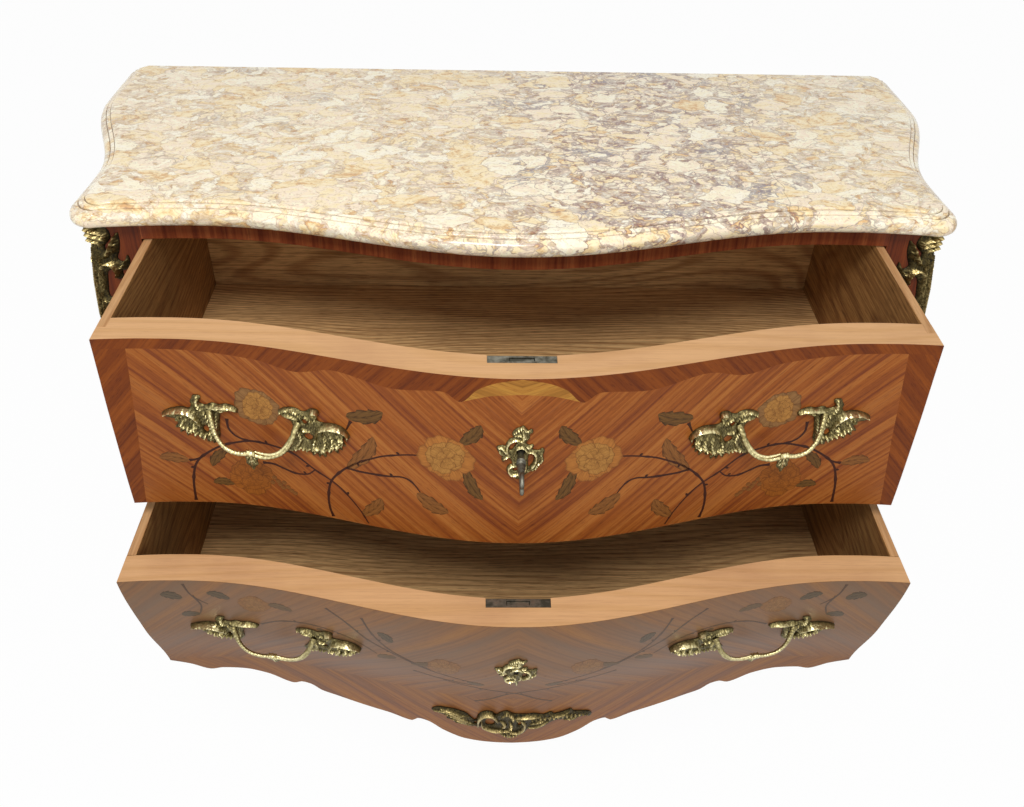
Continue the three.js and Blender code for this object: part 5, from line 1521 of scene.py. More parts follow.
# Castings at full size: outlines, pierced holes, and ribs with their radius, height and bead spacing.
OUTER_WING = Casting(
    outline=((-99.5, 18), (-93, 23.5), (-84, 26.5), (-75, 27.5), (-67.5, 26), (-64.5, 30.5), (-65, 35.5),
             (-62.5, 39.5), (-61, 43), (-57.5, 44), (-52.5, 43), (-53, 39), (-55.5, 36), (-52.5, 32.5), (-47.5, 31.5),
             (-40.5, 34.5), (-33, 33), (-25, 34.5), (-17.5, 33), (-12, 28.5), (-13.5, 23.5), (-18, 25.5), (-26, 25),
             (-31, 23), (-33.5, 18.5), (-35, 10.5), (-37, -1.5), (-38, -11.5), (-43, -20), (-47, -22.5), (-49, -18.5),
             (-53.5, -21), (-55, -15.5), (-60, -17.5), (-62, -11.5), (-67.5, -14.5), (-69, -8), (-75.5, -13),
             (-77, -6), (-83, -8), (-82, -2), (-87.5, -1), (-84, 4), (-83.5, 9), (-88, 12), (-93.5, 13)),
    holes=(((-56, -2), (-52, 3), (-49, -2), (-52, -7)), ((-46.5, 21), (-44, 24), (-41.5, 20), (-43, 15))),
    strokes=((((-97, 19), (-87, 24.5), (-76, 25.5), (-66, 22.5), (-60, 14.5), (-57, 5)), 2.6, 12),
             (((-56.5, 42), (-57, 37), (-56.5, 31), (-55, 25)), 3.0, 9, 4.2),
             (((-47, 29.5), (-32.5, 30.5), (-21.5, 31), (-13, 27)), 2.4, 8),
             (((-41, 26.5), (-32, 26), (-20, 28)), 1.4, 6), (((-72, 17), (-80, 15), (-86, 7)), 2.3, 7.6, 4.6),
             (((-69, 14), (-77, 8), (-81, -2)), 2.4, 8.4, 4.6), (((-64, 10), (-66, 0), (-74, -7)), 2.4, 8.8, 4.6),
             (((-60, 4), (-65, -4), (-63, -13)), 2.3, 8, 4.6), (((-58, -3), (-54, -9), (-57, -16)), 2.2, 8.4, 4.6),
             (((-54, -7), (-48, -10), (-49, -18)), 2.3, 8, 4.6),
             (((-82, 3), (-74, 0), (-68, -5), (-60, -9), (-52, -11)), 1.9, 9.6, 5.2),
             (((-53, 26), (-49.5, 18), (-47, 10), (-45, -2), (-43, -14)), 2.3, 9, 5.0),
             (((-38, 21), (-38.5, 12), (-40, 0), (-41, -10)), 2.0, 8.4, 4.2)),
    plate=3.0)
INNER_WING = Casting(
    outline=((35, 33.5), (41.5, 39), (50, 41.5), (57.5, 41), (62.5, 38.5), (68, 40), (71.5, 43), (76, 44.4),
             (81, 43.5), (82.5, 39), (79, 33.5), (81, 28.5), (88, 28), (97.5, 29), (106.5, 27), (112.5, 22),
             (115.5, 15), (112, 10.5), (108.5, 12.5), (108, 5), (110, 1), (104.5, 0), (105.5, -6), (101, -5),
             (100, -12), (94.5, -8.5), (91, -14), (87, -10), (85, -21), (80.5, -18), (77.5, -22.5), (74.5, -16.5),
             (70, -22), (67.5, -15.5), (62.5, -18), (57, -13.5), (51, -18.5), (44, -19.5), (39.5, -23.5), (38, -19),
             (43, -8.5), (47.5, 1.5), (50.5, 12), (49, 21.5), (43, 26), (38.5, 28)),
    holes=(((62, 4), (67, 9.5), (72.5, 6), (68.5, 0)), ((62, 26), (66, 29), (68, 25), (64.5, 21.5))),
    strokes=((((76, 6), (79, 17), (87, 24.5), (98, 26.5), (108, 24), (113, 17), (112, 12.5)), 2.1, 11.5),
             (((37, 33), (47, 38.5), (55, 36), (60, 29)), 2.6, 8.5, 3.6), (((40, 30), (49, 30), (57, 26)), 1.5, 6.5),
             (((79, 38), (81, 42), (76.5, 42.5), (74, 38.5), (77, 36.5)), 2.4, 9.5),
             (((79, 33), (74, 28.5), (68, 31), (63, 35.5)), 2.1, 8.2, 3.2),
             (((79, 10), (73, -2), (73, -17)), 2.3, 8, 4.6), (((85, 14), (86, 0), (80, -16)), 2.4, 8.6, 4.6),
             (((92, 16), (95, 4), (90, -10)), 2.4, 8.8, 4.6), (((98.5, 17), (103, 6), (98, -7)), 2.2, 8, 4.6),
             (((104.5, 17), (108, 8), (104, -1)), 2.0, 7.4, 4.6),
             (((43, -19), (52, -14), (60, -12.5), (69, -17)), 2.2, 8, 4.6),
             (((66, -12), (76, -9), (86, -8), (95, -3), (102, 4), (107, 12)), 1.9, 9.8, 5.2),
             (((53, 24), (56, 12), (58, 2), (54, -8), (46, -16)), 2.2, 9, 4.0),
             (((60, 17), (64, 14), (71, 15)), 1.8, 7)),
    plate=3.0)
PENDANT_LEAF = Casting(
    outline=((0, 7), (4, 3), (7.4, -3), (6.4, -8), (7, -12), (3, -16), (0.5, -21), (-3, -16), (-7, -12), (-6.4, -8),
             (-7.4, -3), (-4, 3)),
    strokes=((((0, 6), (0, -6), (0, -18)), 1.3, 4.4), (((1, 2), (4.4, -3), (5.4, -8)), 1.1, 3.6),
             (((-1, 2), (-4.4, -3), (-5.4, -8)), 1.1, 3.6), (((1, -5), (3.6, -10), (4.4, -13)), 1.0, 3.4),
             (((-1, -5), (-3.6, -10), (-4.4, -13)), 1.0, 3.4)),
    plate=2.2, fall=2.4, pitch=1.1, seat=0.0, chased=0.1)
KEYHOLE_PLATE = Casting(
    outline=((-9.5, 25.5), (-6, 30.5), (-1, 33), (2.5, 34.6), (5, 31.5), (8, 28.5), (10.5, 30.5), (13, 28), (12, 25),
             (9, 22.5), (9.5, 19), (7.5, 15.5), (5.5, 12.5), (7.5, 10), (10.5, 9), (12, 10.5), (14, 8), (12.5, 4),
             (16, 2.5), (20.5, 2.5), (23, 5), (26, 1.5), (24.5, -4.5), (25.5, -13), (21.5, -16), (19.5, -22),
             (16, -26), (11, -27.5), (6.5, -31.5), (4, -34.5), (3.6, -43), (3, -50), (0, -50), (-0.6, -43),
             (-2, -37.5), (-4.5, -38.5), (-7, -34.5), (-11, -34), (-14.5, -29), (-15, -23), (-12.5, -18),
             (-9.5, -16.5), (-10, -12.5), (-12.5, -8.5), (-15.5, -9.5), (-18.5, -14), (-20.5, -12), (-20.5, -8),
             (-18.5, -5.5), (-22.5, -2.5), (-25.5, 2), (-26, 6.5), (-22.5, 8), (-19, 8.5), (-17, 7.5), (-15.5, 12),
             (-12, 17.5), (-7.5, 19.5), (-9.5, 22)),
    holes=(((-12.5, 6), (-10.5, 11), (-6.5, 13.5), (-4.2, 12.6), (-6.8, 8), (-9.6, 3.5), (-12, 2.5)), ((9.4, -3),
           (12, -2.8), (14.4, -6.5), (13.8, -13), (11.2, -18), (8.8, -20.5), (8, -10.5)), ((-6, -21.5), (-3.5, -22),
           (-3.5, -26), (-6.5, -26.5), (-8, -24)), ((0, 4.4), (3.1, 3.1), (4.4, 0), (3.3, -2.8), (2, -4.2),
           (2.3, -11.5), (-2.3, -11.5), (-2, -4.2), (-3.3, -2.8), (-4.4, 0), (-3.1, 3.1))),
    strokes=((((3, 12.5), (-1.5, 16), (-5.5, 17), (-10.5, 15), (-14, 10), (-14.8, 3), (-13.5, -3),
               (-10, -8)), 1.5, 5.6), (((-7.5, 25), (-2, 29), (2.5, 32), (6, 28.5), (9.5, 26.5)), 1.9, 5.6, 3.2),
             (((-6.5, 22), (0.5, 22.5), (5.5, 19), (7, 16.5)), 1.7, 5.2, 3), (((2, 28), (3, 20), (1, 12)), 1.7, 5.4),
             (((-24, 5.5), (-20, 5.5), (-17, 1.5), (-14.5, -4)), 1.6, 5),
             (((-23, 1), (-21.5, -2.5), (-18, -4.5)), 1.4, 4.4),
             (((-19.5, -11.5), (-16.5, -7.6), (-12, -6)), 1.4, 4.6),
             (((-7, -5), (-5.8, 2), (-2.5, 6.3), (3, 6.3), (6.4, 2), (7, -4)), 1.3, 5),
             (((6, 8), (9.5, 6.5), (12.5, 8)), 1.3, 4.6),
             (((8.5, 0), (14, -0.6), (17, -6), (16, -14.5), (12, -21.5), (7.5, -27.5)), 1.5, 5.6),
             (((24, 2), (22.5, -4.5), (23.5, -12.5), (19, -17.5), (16, -23.5), (10.5, -26)), 1.5, 4.8, 3.4),
             (((-4, -19), (-8.5, -19), (-12, -20.5), (-12.7, -26), (-9.5, -31), (-5.5, -31), (-2, -30.5),
               (1, -34)), 1.5, 5.6), (((0.8, -33), (1.5, -42), (1.6, -49)), 1.3, 4.6),
             (((-8.5, -11), (-7.4, -16), (-5, -18.5)), 1.4, 4.4), (((5, -14), (6, -22), (3, -30)), 1.4, 4.6),
             (((-4.5, -14), (-1, -20), (0, -28)), 1.5, 4.8)),
    plate=1.9, fall=1.6, pitch=0.95, edge=0.7, chased=0.15)
# A dark patch under the keyhole plate's hole: painted shadow of the keyhole, as no hole is cut into the front.
KEYHOLE_SHADOW_PATCH = Casting(
    outline=((0, 5.6), (3.9, 4.1), (5.6, 0), (4.2, -3.6), (2.8, -5), (3.1, -12.6), (-3.1, -12.6), (-2.8, -5),
             (-4.2, -3.6), (-5.6, 0), (-3.9, 4.1)),
    plate=0.4, fall=0.2, pitch=0.8, edge=0.3, seat=0.14, chased=0.0)
APRON_RELIEF = Casting(
    outline=((-110, 24), (-104, 34.5), (-97, 38), (-88, 38), (-79, 37.5), (-70, 33.5), (-62.5, 28), (-56.5, 16),
             (-52, 8), (-49, 12), (-47.5, 23), (-43, 35), (-35.5, 41.5), (-28, 39.5), (-22, 32), (-14.5, 41),
             (-7.5, 44), (0.5, 36), (6.5, 34), (17, 33), (29, 34), (41.5, 29), (51.5, 35.5), (56.5, 28.5),
             (68.5, 32.5), (78.5, 37.5), (82.5, 29.5), (93.5, 25), (104, 20), (109, 11), (107, 3), (97.5, 8.5),
             (90.5, 3.5), (86, -2), (76.5, 1), (63.5, 7.5), (55, 3), (49, -5), (44, -13), (35.5, -14), (28, -10.5),
             (21, -19.5), (16.5, -32), (8.5, -39.5), (-2, -45), (-8.5, -44.5), (-15, -38), (-20, -27.5), (-27.5, -25),
             (-37, -22.5), (-44.5, -12.5), (-52.5, -11.5), (-61.5, -5.5), (-74, -8.5), (-80.5, -5), (-79, 1),
             (-90, 3.5), (-86.5, 12), (-99, 17)),
    holes=(((-35.5, 13.5), (-29.5, 21), (-24.5, 11), (-25.5, -1.5), (-32.5, -5), (-37, 1.5)), ((8, 13), (12, 11),
           (12.5, -2), (8.5, -4)), ((-52.5, 0), (-49.5, 5), (-48.5, -4))),
    strokes=((((-107, 27), (-88, 30), (-70, 16), (-53, -2)), 2.3, 7.4), (((-97, 34.5), (-79, 31), (-62, 13)), 2.1, 7),
             (((-92, 20), (-74, 13.5), (-55, -6)), 2.1, 6.8), (((-84, 7), (-70, 4), (-56, -8)), 1.9, 6.4),
             (((-77, -3), (-66, 0), (-54, -9)), 1.7, 6), (((-86, 35), (-70, 25), (-60, 20)), 1.5, 6),
             (((-47, -8), (-45.5, 18), (-38.5, 34), (-29, 35.5), (-23.5, 25), (-20, 12)), 2.6, 9.4),
             (((-42, 20), (-40.5, -4), (-28, -15.5), (-14, -19), (0, -20)), 2.2, 8.4),
             (((-14.5, 28), (-7, 40), (0, 29), (1, 12)), 2.8, 8.8, 4.4), (((-16, 14), (-10, 4), (-14, -8)), 2.4, 8.2),
             (((-4, 12), (-1, -2), (-4, -14)), 2.4, 9, 4.4), (((2, 24), (14, 28), (28.5, 29), (38, 25)), 2.2, 8),
             (((-2, -26), (9.5, -22), (16.5, -8), (15.5, 8), (6, 17)), 2.3, 8.8),
             (((27, 14), (42, 19), (54, 20.5), (66, 22.5), (80, 20), (94, 16.5), (105, 11)), 2.6, 8, 6.0),
             (((-16, -28), (-6, -37), (6, -33), (14, -26)), 2.2, 7.6, 4.4),
             (((-8, -26), (-5, -34), (-4, -42)), 1.8, 6.6), (((22, -10), (34, -6), (44, 4), (52, 13)), 2.2, 7),
             (((72, 8), (82, 10), (91, 12.5)), 1.6, 6.2), (((50, 31), (57, 24), (70, 27), (77, 33)), 1.7, 6.2),
             (((24, 2), (34, 8), (46, 14)), 1.8, 6.6)),
    plate=2.8, pitch=1.4)

# One half of a corner chute, from the corner's edge outwards and from its top down.
CHUTE_HALF = ((8, 0), (15, -3), (20, -10), (21, -18), (17, -24), (13, -28), (14, -36), (19, -34), (23, -26),
              (27, -16), (30, -12), (31, -24), (29, -36), (26, -45), (30, -50), (35, -49), (38, -42), (40, -50),
              (37, -60), (30, -63), (30, -70), (26, -74), (21, -71), (22, -64), (17, -60), (12, -64), (10.5, -76),
              (9.5, -94), (13, -99), (17, -98), (16, -105), (11, -110), (8, -108), (6.5, -122), (4.8, -145), (2, -168))
CHUTE_RIDGES = ((((-6, -1), (3, -6), (11, -8), (18, -13)), 2.0, 10.0),
                (((-6, -8), (3, -13), (10, -15), (17, -20)), 1.9, 9.2),
                (((-6, -15), (2, -20), (8, -22), (13, -26)), 1.7, 8.0),
                (((19, -5), (20, -13), (17, -22)), 1.9, 8.4, 3.2),
                (((3, -24), (5, -32), (5.4, -80), (4.2, -120), (3, -160)), 1.3, 5.8),
                (((9, -28), (8, -44), (8.6, -60), (8, -92)), 1.2, 5.4),
                (((11, -44), (18, -40), (24, -30), (29, -15)), 1.9, 7.4),
                (((20, -40), (27, -34), (29, -22)), 1.2, 5.6),
                (((8, -62), (12, -54), (20, -50), (27, -54), (29, -62), (26, -70)), 2.0, 9.0),
                (((26, -54), (33, -58), (38, -48)), 1.8, 6.6, 3.2), (((6, -100), (11, -104), (16, -101)), 1.5, 6.0))


@dataclass
class Mounts:
    """Gilt bronze mounts: pulls, keyhole plates, apron mount, corner chutes and shoes."""

    bronze: Material
    shade_painted_bronze: Material
    hole_shadow: Material
    pull_x: float = -304.0
    left_arm: tuple = ((-44, 27, 5), (-41, 19, 12), (-38, 8.5, 18), (-32, -2, 23), (-23.5, -9, 26),
                       (-12.5, -12, 27), (-2, -11.5, 26.6))
    right_arm: tuple = ((8, -12.5, 26.6), (19.5, -13, 27), (33, -8.5, 26), (43.5, -1, 23), (50.5, 9.5, 18),
                        (54, 18, 12), (58, 25, 5))
    reed: tuple = ((8, -7, 26.4), (16, -8, 27), (26, -7.6, 27), (37, -3, 25), (45, 5, 21), (50, 13, 16))
    knot_at: tuple = (-3, -10.5, 26.2)
    knot: tuple = ((0, 2.4), (0.6, 3.8), (1.6, 4.6), (2.6, 3.5), (3.4, 3.3), (5.5, 4.4), (7.4, 3.3), (8.4, 3.5),
                   (9.4, 4.6), (10.4, 3.8), (11, 2.4))
    leaf_at: tuple = (2.5, -14.0, 24.5)
    apron_z: float = 250.0
    chute_gap: float = 3.0

    def cast(self, block: Block, name: str, body: Body, bronze: Material, replaced: str,
             mirrored: bool = False) -> None:
        """Makes a mount that stands for one CAD node of a drawer."""
        block.build(name, body, [bronze], "gilt_bronze", [replaced], CAST_CREASE, mirrored)

    def pull(self, drawer: Drawer, side: str) -> None:
        """Builds a pull: two rocaille wings that carry two arms, collared and beaded, with a knot and a leaf.

        Args:
            drawer: Its drawer.
            side: Left or right.
        """
        place = draped(self.pull_x, drawer.pull_z)
        block = Block()
        OUTER_WING.add_to(block, place)
        INNER_WING.add_to(block, place)
        tube(block, self.left_arm, (4.2, 3.4, 2.9, 2.8, 2.9, 3.0), place, 3.8, 0.14)
        tube(block, self.right_arm, (2.8, 2.5, 2.4, 2.6, 3.2, 4.2), place, 5.2, 0.1)
        tube(block, self.reed, (1.2, 1.7, 1.9, 2.0, 1.4), place)
        turned(block, self.knot_at, self.knot, place, (1, 0, 0))

        def hung(u: Array, v: Array, out: Array) -> Array:
            """Hangs the leaf from the knot."""
            return place(u + self.leaf_at[0], v + self.leaf_at[1], out + self.leaf_at[2])

        PENDANT_LEAF.add_to(block, hung)
        name = f"{drawer.name}_{side}_pull"
        self.cast(block, f"{name}_cast", drawer.body, self.bronze, name, side == "right")

    def keyhole_mount(self, drawer: Drawer) -> None:
        """Builds a keyhole plate of C-scrolls and leaves, with a dark patch behind its hole that paints the keyhole's
        shadow.

        Args:
            drawer: Its drawer.
        """
        plate, shadow_patch = Block(), Block()
        KEYHOLE_PLATE.add_to(plate, draped(0.0, drawer.key_z))
        self.cast(plate, f"{drawer.name}_keyhole_mount", drawer.body, self.bronze, f"{drawer.name}_escutcheon")
        # The dark patch behind the plate is a painted shadow of the keyhole.
        KEYHOLE_SHADOW_PATCH.add_to(shadow_patch, draped(0.0, drawer.key_z))
        shadow_patch.build(f"{drawer.name}_keyhole_liner", drawer.body, [self.hole_shadow], "lock_steel")

    def apron_mount(self) -> None:
        """Builds the apron mount: a pierced cartouche between sprays of leaves."""
        block = Block()
        APRON_RELIEF.add_to(block, draped(0.0, self.apron_z))
        # The apron mount takes the darker copy of the bronze, which is painted shade.
        self.cast(block, "apron_mount_cast", LOWER.body, self.shade_painted_bronze, "apron_mount")

    def round_corner(self, u: Array, v: Array, out: Array) -> Array:
        """Bends a relief round the canted corner.

        Args:
            u: Places across, from the front (negative) to the side.
            v: Heights.
            out: How far they stand out.

        Returns:
            Points of the case.
        """
        points = []
        for across, height, grow in zip(u, v, out):
            front, soft, side = FORM.corner_points(height, grow)
            edge = front if across < 0 else side
            reach = float(np.linalg.norm(edge - soft))
            beyond = abs(across) - reach
            if beyond <= 0:
                points.append(soft + (edge - soft) * (abs(across) / reach))
            elif across < 0:
                x = front[0] - beyond
                points.append((x, float(FORM.front(x, height)) - grow, height))
            else:
                y = side[1] + beyond
                points.append((float(FORM.side(y, height)) + grow, y, height))
        return np.array(points)

    def chutes(self) -> None:
        """Builds the corner chutes: a rolled head, a reeded stem down the corner and leaves on both its sides."""
        head_z = FORM.top_z - self.chute_gap
        outline = [(side * u, v + head_z) for side, half in ((-1, CHUTE_HALF), (1, CHUTE_HALF[::-1])) for u, v in half]
        strokes = [([(0, head_z - drop) for drop in (30, 90, 164)], 1.8, 7)]
        for side in (-1, 1):
            strokes += [([(side * u, v + head_z) for u, v in path], *sizes) for path, *sizes in CHUTE_RIDGES]
        block = Block()
        # The chutes take the darker copy of the bronze, which is painted shade.
        Casting(outline, (), strokes, plate=2.6).add_to(block, self.round_corner)
        block.build_pair("corner_chute_cast", [self.shade_painted_bronze], "gilt_bronze", "corner_chute", CAST_CREASE)

    def shoes(self) -> None:
        """Builds the bronze shoes of the front feet, ribbed leaves with a scalloped crown."""
        height, wall, toe_z, lift, ribs, lobes = 78.0, 2.9, 4.3, 4.0, 12, 6
        scallop, rib_mm, toe_mm, lining_mm, lining_mark = 0.17, 0.9, 1.8, 0.35, 0.2
        levels = np.linspace(0, 1, 34)
        count = len(FORM.leg_ring(height / 2))
        turns = np.arange(count) / count
        crown = 1 - scallop * (0.5 + 0.5 * np.cos(2 * np.pi * turns * lobes))

        def ring(zs: Array, grows: Array) -> Array:
            """Outline of the shoe whose points stand at their own heights."""
            return np.array([(*FORM.leg_ring(max(toe_z, float(z)), float(grow))[i][:2], z)
                             for i, (z, grow) in enumerate(zip(zs, grows))])

        outer, marks = [], []
        for level in levels:
            rib = rib_mm * np.cos(2 * np.pi * turns * ribs) * math.sin(math.pi * min(level * 1.05, 1))
            outer.append(ring(level * height * crown, wall + toe_mm * math.exp(-level * 9) + rib))
            marks.append(0.5 + 0.45 * rib)
        inner = [ring(np.maximum(level * height * crown, lift), np.full(count, lining_mm)) for level in levels[::-1]]
        block = Block()
        block.loft(outer + inner, relief=np.concatenate([*marks, np.full(len(inner) * count, lining_mark)]))
        block.build_pair("shoe_cast", [self.bronze], "gilt_bronze", "sabot", 50.0)

    def build(self) -> None:
        """Builds every mount."""
        for drawer in DRAWERS:
            for side in SIDES[::-1]:
                self.pull(drawer, side)
            self.keyhole_mount(drawer)
        self.apron_mount()
        self.chutes()
        self.shoes()


@dataclass
class KeyWork:
    """The key in the upper lock."""

    steel: Material
    key_z: float = UPPER.key_z
    shoulder_mm: float = 38.0
    ward_mm: float = 6.0
    stem: tuple = ((0, 2.4), (1, 3.0), (4, 3.4), (9, 4.2), (13, 4.9), (14, 5.0), (14.6, 4.4), (15.4, 5.2),
                   (16.4, 4.5), (17.4, 5.3), (18.4, 4.6), (19.4, 5.3), (20.4, 4.5), (21.4, 5.0), (23, 4.4),
                   (28, 3.9), (32, 3.1))
    tip_radius: float = 3.0
    bow: tuple = ((0, 0), (7, -4), (10.4, -10), (9.8, -16), (5.5, -20.5), (0, -18.6), (-5.5, -20.5), (-9.8, -16),
                  (-10.4, -10), (-7, -4))
    bow_radius: float = 2.2
    bit_half: tuple = (1.3, 3.5)
    bit_heights: tuple = (-9.5, -1.0)

    def build(self) -> None:
        """Builds the key: a turned stem, a bit and a pierced bow that stands upright."""
        lock_y = float(FORM.front(0, UPPER.top_z)) + LOCK_SETBACK + self.ward_mm
        tip_y = float(FORM.front(0, self.key_z)) - self.shoulder_mm
        block = Block()
        wide, deep = self.bit_half
        turned(block, (0, tip_y, self.key_z), (*self.stem, (lock_y + deep - tip_y, self.tip_radius)), case_points,
               (0, 1, 0), 24)
        heart = np.array(self.bow, float)
        loop = smooth_path(np.column_stack([np.zeros(len(heart)), tip_y + heart[:, 1], self.key_z + heart[:, 0]]),
                           0.8, closed=True)
        tube(block, np.vstack([loop, loop[:1]]), (self.bow_radius, self.bow_radius), case_points)
        x, z = np.meshgrid((-wide, wide), self.key_z + np.array(self.bit_heights), indexing="ij")
        block.slab(case_points(x, lock_y - deep, z), case_points(x, lock_y + deep, z))
        block.build("key_turned", Body.KEY, [self.steel], "lock_steel", ["key"])


@dataclass
class Studio:
    """Pale floor, soft lamps, white surroundings and the camera at the photograph's viewpoint."""

    focal_px: float = 957.0
    frame_px: float = 1024.0
    sensor_mm: float = 36.0
    position: tuple = (-0.03601, -1.06274, 1.43)
    pitch_deg: float = 40.0
    roll_deg: float = 1.5456
    yaw_deg: float = 1.8961
    clip_start: float = 0.05
    light_strength: float = 0.45
    white_share: float = 0.97
    floor_half: float = 30.0
    lamps: tuple = (("key_lamp", (-0.3, -1.5, 3.0), (0, -0.4, 0.6), 0.9, 50.0),
                    ("fill_lamp", (1.3, -2.4, 1.7), (0, -0.4, 0.5), 1.4, 11.0),
                    ("low_lamp", (-1.3, -2.4, 1.5), (0, -0.4, 0.5), 1.4, 10.0))

    def camera(self) -> None:
        """Places the camera."""
        data = bpy.data.cameras.new("view_camera")
        data.sensor_fit = "HORIZONTAL"
        data.sensor_width = self.sensor_mm
        data.lens = self.focal_px * self.sensor_mm / self.frame_px
        data.clip_start = self.clip_start
        camera = bpy.data.objects.new("view_camera", data)
        pitch, roll, yaw = (math.radians(a) for a in (self.pitch_deg, self.roll_deg, self.yaw_deg))
        ahead = Vector((math.sin(yaw) * math.cos(pitch), math.cos(yaw) * math.cos(pitch), -math.sin(pitch)))
        level = Vector((math.cos(yaw), -math.sin(yaw), 0))
        above = level.cross(ahead)
        right = level * math.cos(roll) + above * math.sin(roll)
        up = above * math.cos(roll) - level * math.sin(roll)
        turn = Matrix((right, up, -ahead)).transposed().to_4x4()
        camera.matrix_world = Matrix.Translation(self.position) @ turn
        bpy.context.scene.collection.objects.link(camera)
        bpy.context.scene.camera = camera

    def lamp(self, name: str, place: Sequence[float], target: Sequence[float], size: float, power: float) -> None:
        """Hangs a soft lamp.

        Args:
            name: Its name.
            place: Where it hangs.
            target: What it points at.
            size: Width of its panel.
            power: Watts.
        """
        data = bpy.data.lights.new(name, "AREA")
        data.shape = "SQUARE"
        data.size = size
        data.energy = power
        lamp = bpy.data.objects.new(name, data)
        lamp.location = place
        lamp.rotation_euler = (Vector(target) - Vector(place)).to_track_quat("-Z", "Y").to_euler()
        bpy.context.scene.collection.objects.link(lamp)

    def seen(self, r: Recipe) -> Socket:
        """Joins the rays that may see the white surroundings.

        Args:
            r: Recipe of the world or the floor.

        Returns:
            1 for a ray of the camera, of a reflection or through glass, and 0 for light.
        """
        camera, glossy, through_glass = (r.put("LightPath", {}, name) for name in (
            "Is Camera Ray", "Is Glossy Ray", "Is Transmission Ray"))
        first = r.put("Math", {0: camera, 1: glossy}, operation="MAXIMUM")
        return r.put("Math", {0: first, 1: through_glass}, operation="MAXIMUM")

    def surroundings(self) -> None:
        """Sets the world: plain grey light, white where the camera or a reflection sees it."""
        world = bpy.data.worlds.new("studio_world")
        r = Recipe(world)
        light = r.put("Background", {"Color": linear("#E9EBEE"), "Strength": self.light_strength})
        white = r.put("Background", {"Color": linear("#FFFFFF"), "Strength": 1.0})
        mixed = r.put("MixShader", {0: self.seen(r), 1: light, 2: white})
        r.put("OutputWorld", {"Surface": mixed})
        bpy.context.scene.world = world

    def floor(self) -> None:
        """Lays the floor: matt white, brightened only where the camera or a reflection sees it."""
        half = self.floor_half
        mesh = bpy.data.meshes.new("studio_floor")
        mesh.from_pydata([(-half, -half, 0), (half, -half, 0), (half, half, 0), (-half, half, 0)], [], [(0, 1, 2, 3)])
        floor = bpy.data.objects.new("studio_floor", mesh)
        bpy.context.scene.collection.objects.link(floor)
        material = bpy.data.materials.new("studio_floor_paint")
        r = Recipe(material)
        share = r.put("Math", {0: self.seen(r), 1: self.white_share}, operation="MULTIPLY")
        paint = r.put("BsdfDiffuse", {"Color": linear("#E4E4E2")})
        glow = r.put("Emission", {"Color": linear("#FFFFFF"), "Strength": 1.0})
        mixed = r.put("MixShader", {0: share, 1: paint, 2: glow})
        r.put("OutputMaterial", {"Surface": mixed})
        mesh.materials.append(material)

    def build(self) -> None:
        """Builds the studio."""
        self.surroundings()
        self.floor()
        for lamp in self.lamps:
            self.lamp(*lamp)
        self.camera()
        bpy.context.scene.view_settings.view_transform = "Standard"


@dataclass
class InnerWork:
    """Boards, locks and nuts inside, shown as they were built, and a paler skin on the drawer sides' top edges as
    painted light.
    """

    oak_across: Material
    oak_lower: Material
    oak_inward_shaded: Material
    oak_back: Material
    steel: Material
    brass: Material
    painted_light_top_oak: Material
    weld_mm: float = 0.01
    eased_mm: float = 0.5
    eased_deg: float = 50.0
    lip_mm: float = 0.12
    lip_inset: float = 0.6

    def lips(self) -> None:
        """Lays a paler skin along the top edges of the drawer sides: painted light, a lighter copy of the sides' oak.
        """
        skin, inset = self.lip_mm, self.lip_inset
        for drawer in DRAWERS:
            back_y = drawer.body.back_y
            for side in SIDES:
                low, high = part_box(f"{drawer.name}_drawer_{side}_side")
                x, y = np.meshgrid(np.linspace(low.x / MM + inset, high.x / MM - inset, 3),
                                   np.linspace(low.y / MM - back_y + inset, high.y / MM - back_y - inset, 9),
                                   indexing="ij")
                top = case_points(x, y, high.z / MM + skin)
                block = Block()
                block.slab(top, top - (0, 0, 2 * skin), grain=case_points(x, y, 0))
                block.build(f"{drawer.name}_drawer_{side}_lip", drawer.body, [self.painted_light_top_oak], "oak")

    def finishes(self) -> dict[str, Material]:
        """Works out the finish of each piece that stays as it was built.

        Returns:
            Finishes by the name of the piece, in the order in which they are dressed.
        """
        tiers = [drawer.name for drawer in DRAWERS]
        across = ["bottom_rail", "top_back_rail", "dust_panel", "bottom_panel", "upper_drawer_bottom",
                  "upper_drawer_back"]
        # The inward-facing pieces take a darker copy of the oak: painted shade.
        inward = [f"{side}_{tier}_{kind}" for side in SIDES for tier in tiers for kind in ("runner", "guide")]
        inward += [f"{side}_kicker" for side in SIDES]
        inward += [f"{tier}_drawer_{side}_side" for side in SIDES for tier in tiers]
        locks = [f"{tier}_{kind}" for tier in tiers for kind in ("lock_case", "lock_bolt")]
        nuts = [f"{tier}_{side}_{place}_nut" for tier in tiers for side in SIDES for place in ("outer", "inner")]
        groups = ((across, self.oak_across), (("lower_drawer_bottom", "lower_drawer_back"), self.oak_lower),
                  (inward, self.oak_inward_shaded), (("back_panel",), self.oak_back), (locks, self.steel),
                  (nuts, self.brass))
        return {name: finish for names, finish in groups for name in names}

    def dress(self) -> None:
        """Gives the pieces that stay as they were built their finishes and eased edges."""
        for name, finish in self.finishes().items():
            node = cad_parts[name]
            for material_slot in node.material_slots:
                material_slot.material = finish
            weld = node.modifiers.new("closed_edges", "WELD")
            weld.merge_threshold = self.weld_mm * MM
            eased = node.modifiers.new("eased_edges", "BEVEL")
            eased.width = self.eased_mm * MM
            eased.segments = 2
            eased.limit_method = "ANGLE"
            eased.angle_limit = math.radians(self.eased_deg)
            log.info("%s: dressed in %s", name, finish.name)

    def build(self) -> None:
        """Builds the edges and dresses the pieces."""
        self.lips()
        self.dress()


